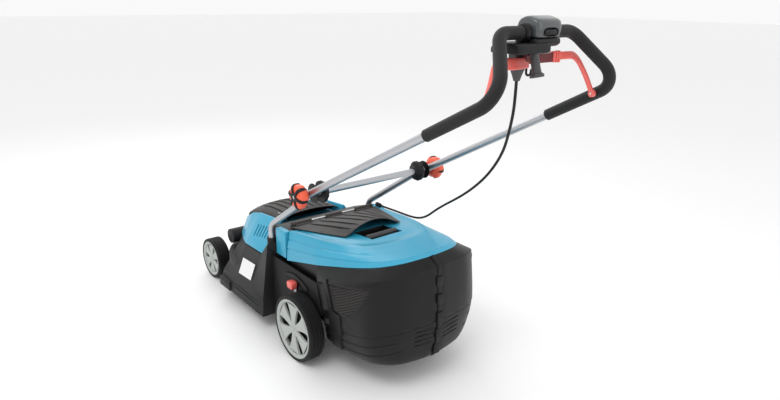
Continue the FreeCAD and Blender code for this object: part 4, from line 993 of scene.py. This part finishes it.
def right_section(share):
    flat = smooth_step(0.35, 0.75, share)
    return ((4.5 + 4.0 * flat) * MM, (5.6 - 1.6 * flat) * MM, 0.75)


def left_section(share):
    flat = smooth_step(0.30, 0.62, share)
    end = 1 - 0.12 * smooth_step(0.9, 1.0, share)
    return ((4.5 + 7.5 * flat) * end * MM, (5.6 - 1.4 * flat) * MM, 0.7 - 0.2 * flat)


def bail_line(points, count):
    return [p * MM for p in curve_through(points, count)]


swept("bail_arm_left", bail_line(left_arm, 64), left_section, "bail_red", "bail", up=(-1, 0, 0.25),
      replaces=("bail_lever",), smooth=50)
swept("bail_arm_right", bail_line(right_arm, 56), right_section, "bail_red", "bail",
      up=(-1, 0, 0.25), smooth=50)
outline = rounded([(-4.6, -9.5), (4.6, -9.5), (4.6, 9.5), (-4.6, 9.5)], 2.0, 3)
build("bail_core", *prism_mesh([((BAR_X + a) * MM, (BAR_Z - 2.0 + b) * MM) for a, b in outline],
                               -60.0 * MM, 30.0 * MM),
      "bail_red", "bail", material=MATERIALS["bail_dark"], bevel=0.0006)
ribs = []
for low_y, high_y, tall in ((-82, -77, 12.5), (-74, -69, 12.0), (-66, -61, 11.5),
                            (-60.5, -57.5, 10.5)):
    outline = rounded([(-5.4, -tall), (5.4, -tall), (5.4, tall), (-5.4, tall)], 2.6, 3)
    ribs.append(prism_mesh([((BAR_X + a) * MM, (BAR_Z - 1.0 + b) * MM) for a, b in outline],
                           low_y * MM, high_y * MM))
build("bail_ribs", *joined(ribs), "bail_red", "bail", bevel=0.0008)
for side, sign in (("left", 1), ("right", -1)):
    start = Vector((-652.0, sign * (BAIL_SIDE - 4.4), 821.0))
    turned(f"bail_eye_{side}", in_metres([
        (3.2, 0.0), (7.2, 0.0), (8.0, 0.8), (8.0, 8.0), (7.2, 8.8), (3.2, 8.8)]),
        start * MM, (0, sign, 0), "bail_red", "bail", steps=40)

# ---- switch box ----------------------------------------------------------

BAR = Vector((-626.0, 0.0, 956.0))
# rows across a moulded block: (share of its width, scale of its outline)
SHELL_ROWS = ((0.0, 0.74), (0.012, 0.84), (0.045, 0.92), (0.10, 0.97), (0.2, 1.0), (0.8, 1.0),
              (0.90, 0.975), (0.955, 0.93), (0.988, 0.86), (1.0, 0.76))


def rounded_shell(name, outline, low, high, slot, radius, crown, **more):
    """A moulded block across the bar: a rounded outline whose ends shrink like a pressed lid."""
    base = [Vector(p) for p in rounded(outline, radius, 6)]
    middle = sum(base, Vector((0, 0))) / len(base)
    rows = []
    for share, scale in SHELL_ROWS:
        y = low + (high - low) * share
        rows.append([(middle + (p - middle) * (1 - (1 - scale) * crown), y) for p in base])
    verts = [Vector((BAR.x + p.x, y, BAR.z + p.y)) * MM for row in rows for p, y in row]
    return build(name, verts, closed_tube(len(base), len(rows)), slot, "handle", **more)


cover = rounded_shell("switch_top", [(-28, -10.5), (-31, 4), (-28.5, 25), (0, 34), (22, 27),
                                     (28, 6), (28, -10.5)],
                      -42, 37.7, "switch_gloss", 11.0, 1.0, replaces=("switch_cover",), smooth=44)
OVAL_STEPS = 40
oval = []
for step in range(OVAL_STEPS):
    a = 2 * math.pi * step / OVAL_STEPS
    c, s = math.cos(a), math.sin(a)
    oval.append(((-3.0 + math.copysign(abs(c) ** 0.75, c) * 24.0) * MM,
                 (BAR.z + 1.5 + math.copysign(abs(s) ** 0.75, s) * 8.6) * MM))
recess = prism_mesh(oval, (BAR.x - 45) * MM, (BAR.x - 15.5) * MM, axis="x")
carve(cover, [mesh_object("recess", *recess)], smooth=44)
LIP_ROWS = ((-30.2, 1.10), (-31.6, 1.06), (-31.4, 0.98), (-28.0, 0.94))
oval_middle = Vector((-3.0 * MM, (BAR.z + 1.5) * MM))
lip_verts = []
for level, grow in LIP_ROWS:
    for y, z in oval:
        p = oval_middle + (Vector((y, z)) - oval_middle) * grow
        lip_verts.append(Vector(((BAR.x + level + 0.6) * MM, p.x, p.y)))
last = (len(LIP_ROWS) - 1) * OVAL_STEPS
lip_faces = grid_faces(OVAL_STEPS, len(LIP_ROWS), closed=True)
lip_faces += [(last + k, last + (k + 1) % OVAL_STEPS, (k + 1) % OVAL_STEPS, k)
              for k in range(OVAL_STEPS)]
build("recess_lip", lip_verts, lip_faces, "grey_plastic", "handle", smooth=50)
rounded_shell("switch_lower", [(-28, -10.4), (28, -10.4), (28, -20), (20, -27.5), (-22, -27.5),
                               (-30, -21)],
              -42, 37.7, "switch_plastic", 4.0, 0.6, replaces=("switch_case",), smooth=40)
rounded_shell("switch_base", [(-34, -19), (-34, -38.8), (40, -38.8), (40, -27), (26, -17)],
              -8, 96, "switch_plastic", 4.0, 0.55, smooth=40)
turned("bar_collar", in_metres([
    (13.6, 0.0), (16.4, 0.0), (17.6, 1.2), (17.9, 5.0), (17.9, 9.0), (17.2, 12.6), (15.6, 14.0),
    (13.6, 14.0)]),
    (BAR + Vector((0, 38.0, 0))) * MM, (0, 1, 0), "switch_plastic", "handle", steps=56)
turned("collar_rim", in_metres([(17.0, 0.0), (18.0, 0.2), (18.0, 1.6), (17.0, 1.8)]),
       (BAR + Vector((0, 43.4, 0))) * MM, (0, 1, 0), "grey_plastic", "handle", steps=56)
button_outline = rounded([(-21.5, 951.6), (15.5, 951.6), (15.5, 962.4), (-21.5, 962.4)], 4.5, 5)
build("lock_button_cap", *prism_mesh(in_metres(button_outline), (BAR.x - 31.0) * MM,
                                     (BAR.x - 23.5) * MM, axis="x"),
      "switch_plastic", "lock_button", bevel=0.0011, replaces=("lock_off_button",))
INLET = Vector((-649.0, 36.0, 920.0))
INLET_WAY = Vector((-0.25, 0, -0.97)).normalized()
turned("inlet_socket", in_metres([
    (6.1, 4.0), (6.1, 50.0), (7.0, 50.0), (13.6, 49.9), (14.5, 49.0), (14.5, 44.6), (13.6, 43.2),
    (10.4, 41.6), (9.7, 39.0), (9.2, 30.0), (8.9, 28.0), (8.9, 26.0), (9.2, 24.0), (8.8, 14.0),
    (8.4, 0.0)]),
    INLET * MM, INLET_WAY, "grey_plastic", "handle", steps=56, replaces=("power_inlet",), smooth=35)
wedge_rows = []
for down, half_x, half_y in ((0.3, 11.0, 19.6), (5.0, 11.0, 20.0), (24.0, 10.0, 19.0),
                             (34.0, 9.0, 15.5), (48.0, 7.0, 9.5), (59.6, 5.4, 5.4)):
    ring = rounded([(half_x, half_y), (-half_x, half_y), (-half_x, -half_y), (half_x, -half_y)],
                   3.2, 3)
    wedge_rows.append([Vector((-600.0 + a, 23.0 + b, 917.0 - down)) * MM for a, b in ring])
build("lead_wedge", [v for row in wedge_rows for v in row],
      closed_tube(len(wedge_rows[0]), len(wedge_rows)), "grey_plastic", "handle",
      replaces=("strain_relief",), smooth=38)

# ---- base mouldings ------------------------------------------------------

soften("deck_housing", "mower_base", 0.0022, limit=20)
cover_piece = soften("motor_cover", "mower_base", 0.0026, limit=18)
slots = []
for number in range(7):
    x = 343.0 - number * 17.0
    top = 290.0 + number * 2.6
    outline = rounded([(x - 3.2, top - 36), (x + 3.2, top - 36), (x + 3.2, top), (x - 3.2, top)],
                      3.0, 3)
    for sign, low, high in ((1, 118, 230), (-1, -230, -118)):
        slots.append(mesh_object(f"slot_{number}_{sign}", *prism_mesh(in_metres(outline), low * MM,
                                                                      high * MM)))
carve(cover_piece, slots)
soften("motor_hood", "mower_base", 0.0020, limit=18)
for node, body, width in (
        ("rear_cowl", "mower_base", 0.0016), ("rear_trims", "mower_base", 0.0030),
        ("rear_flap", "flap", 0.0008), ("height_knob", "rear_axle", 0.0035),
        ("notch_sector", "mower_base", 0.0006), ("carry_handle", "grass_box", 0.0012),
        ("handle_tray", "grass_box", 0.0012)):
    soften(node, body, width)
# ---- ribs that follow the surface below them -----------------------------

SKY = 0.6
DOWN = Vector((0, 0, -1))


def surface_of(node):
    """A CAD part's surface for casting rays."""
    data = frame["nodes"][node].data
    return BVHTree.FromPolygons([v.co for v in data.vertices], [p.vertices for p in data.polygons])


def draped(name, tree, line, wide, tall, body):
    """A rib laid over a surface along a line of (x, y) in mm."""
    sink = 0.6
    points = []
    for point in curve_through([(x, y, 0) for x, y in line], 28):
        hit = tree.ray_cast(Vector((point.x * MM, point.y * MM, SKY)), DOWN)
        if hit[0] is not None:
            points.append(hit[0] + Vector((0, 0, (tall - sink) * MM * 0.5)))

    def section(share):
        taper = min(1.0, 4.5 * share + 0.15, 4.5 * (1 - share) + 0.15)
        return (wide * taper * MM, max(tall * taper, 0.5) * MM, 0.8)

    swept(name, points, section, "hood_plastic", body, smooth=50)


flap_top = surface_of("rear_flap")
for number, (start_y, end_y, front, rear) in enumerate((
        (104, 72, 92, -74), (66, 46, 100, -80), (22, 16, 104, -82), (-22, -16, 104, -82),
        (-66, -46, 100, -80), (-104, -72, 92, -74))):
    draped(f"flap_rib_{number}", flap_top,
           [(front, start_y), (30, start_y * 0.6 + end_y * 0.4), (rear, end_y)],
           5.0, 2.6, "flap")
hood_top = surface_of("motor_hood")
for number in range(7):
    y = (number - 3) * 25.0
    draped(f"hood_rib_{number}", hood_top,
           [(266, y * 1.08), (330, y * 1.04), (400, y), (470, y * 0.86)],
           5.5, 2.8, "mower_base")
for number, (x, y) in enumerate(((470, 92), (470, -92), (300, 104), (300, -104))):
    hit = hood_top.ray_cast(Vector((x * MM, y * MM * 0.9, SKY)), DOWN)
    if hit[0] is not None:
        turned(f"hood_screw_{number}", in_metres([
            (0.05, -1.0), (5.4, -1.0), (5.4, 1.0), (4.6, 1.7), (2.4, 1.7), (2.2, 0.4),
            (0.05, 0.4)]), hit[0], (0, 0, 1), "zinc_steel", "mower_base", steps=24)
side_face = surface_of("deck_housing")
for side, sign in (("left", 1), ("right", -1)):
    for number, z in enumerate((76.0, 88.0)):
        points = []
        for step in range(40):
            x = 190.0 + step * 7.4
            hit = side_face.ray_cast(Vector((x * MM, sign * 0.4, z * MM)), Vector((0, -sign, 0)))
            if hit[0] is not None:
                points.append(hit[0] - Vector((0, sign * 0.0002, 0)))
        if len(points) > 6:
            swept(f"skirt_bead_{side}_{number}", points,
                  lambda share: (1.6 * MM, 1.3 * MM, 0.8), "deck_plastic", "mower_base", smooth=50)
# ---- wind up -------------------------------------------------------------

low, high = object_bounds()
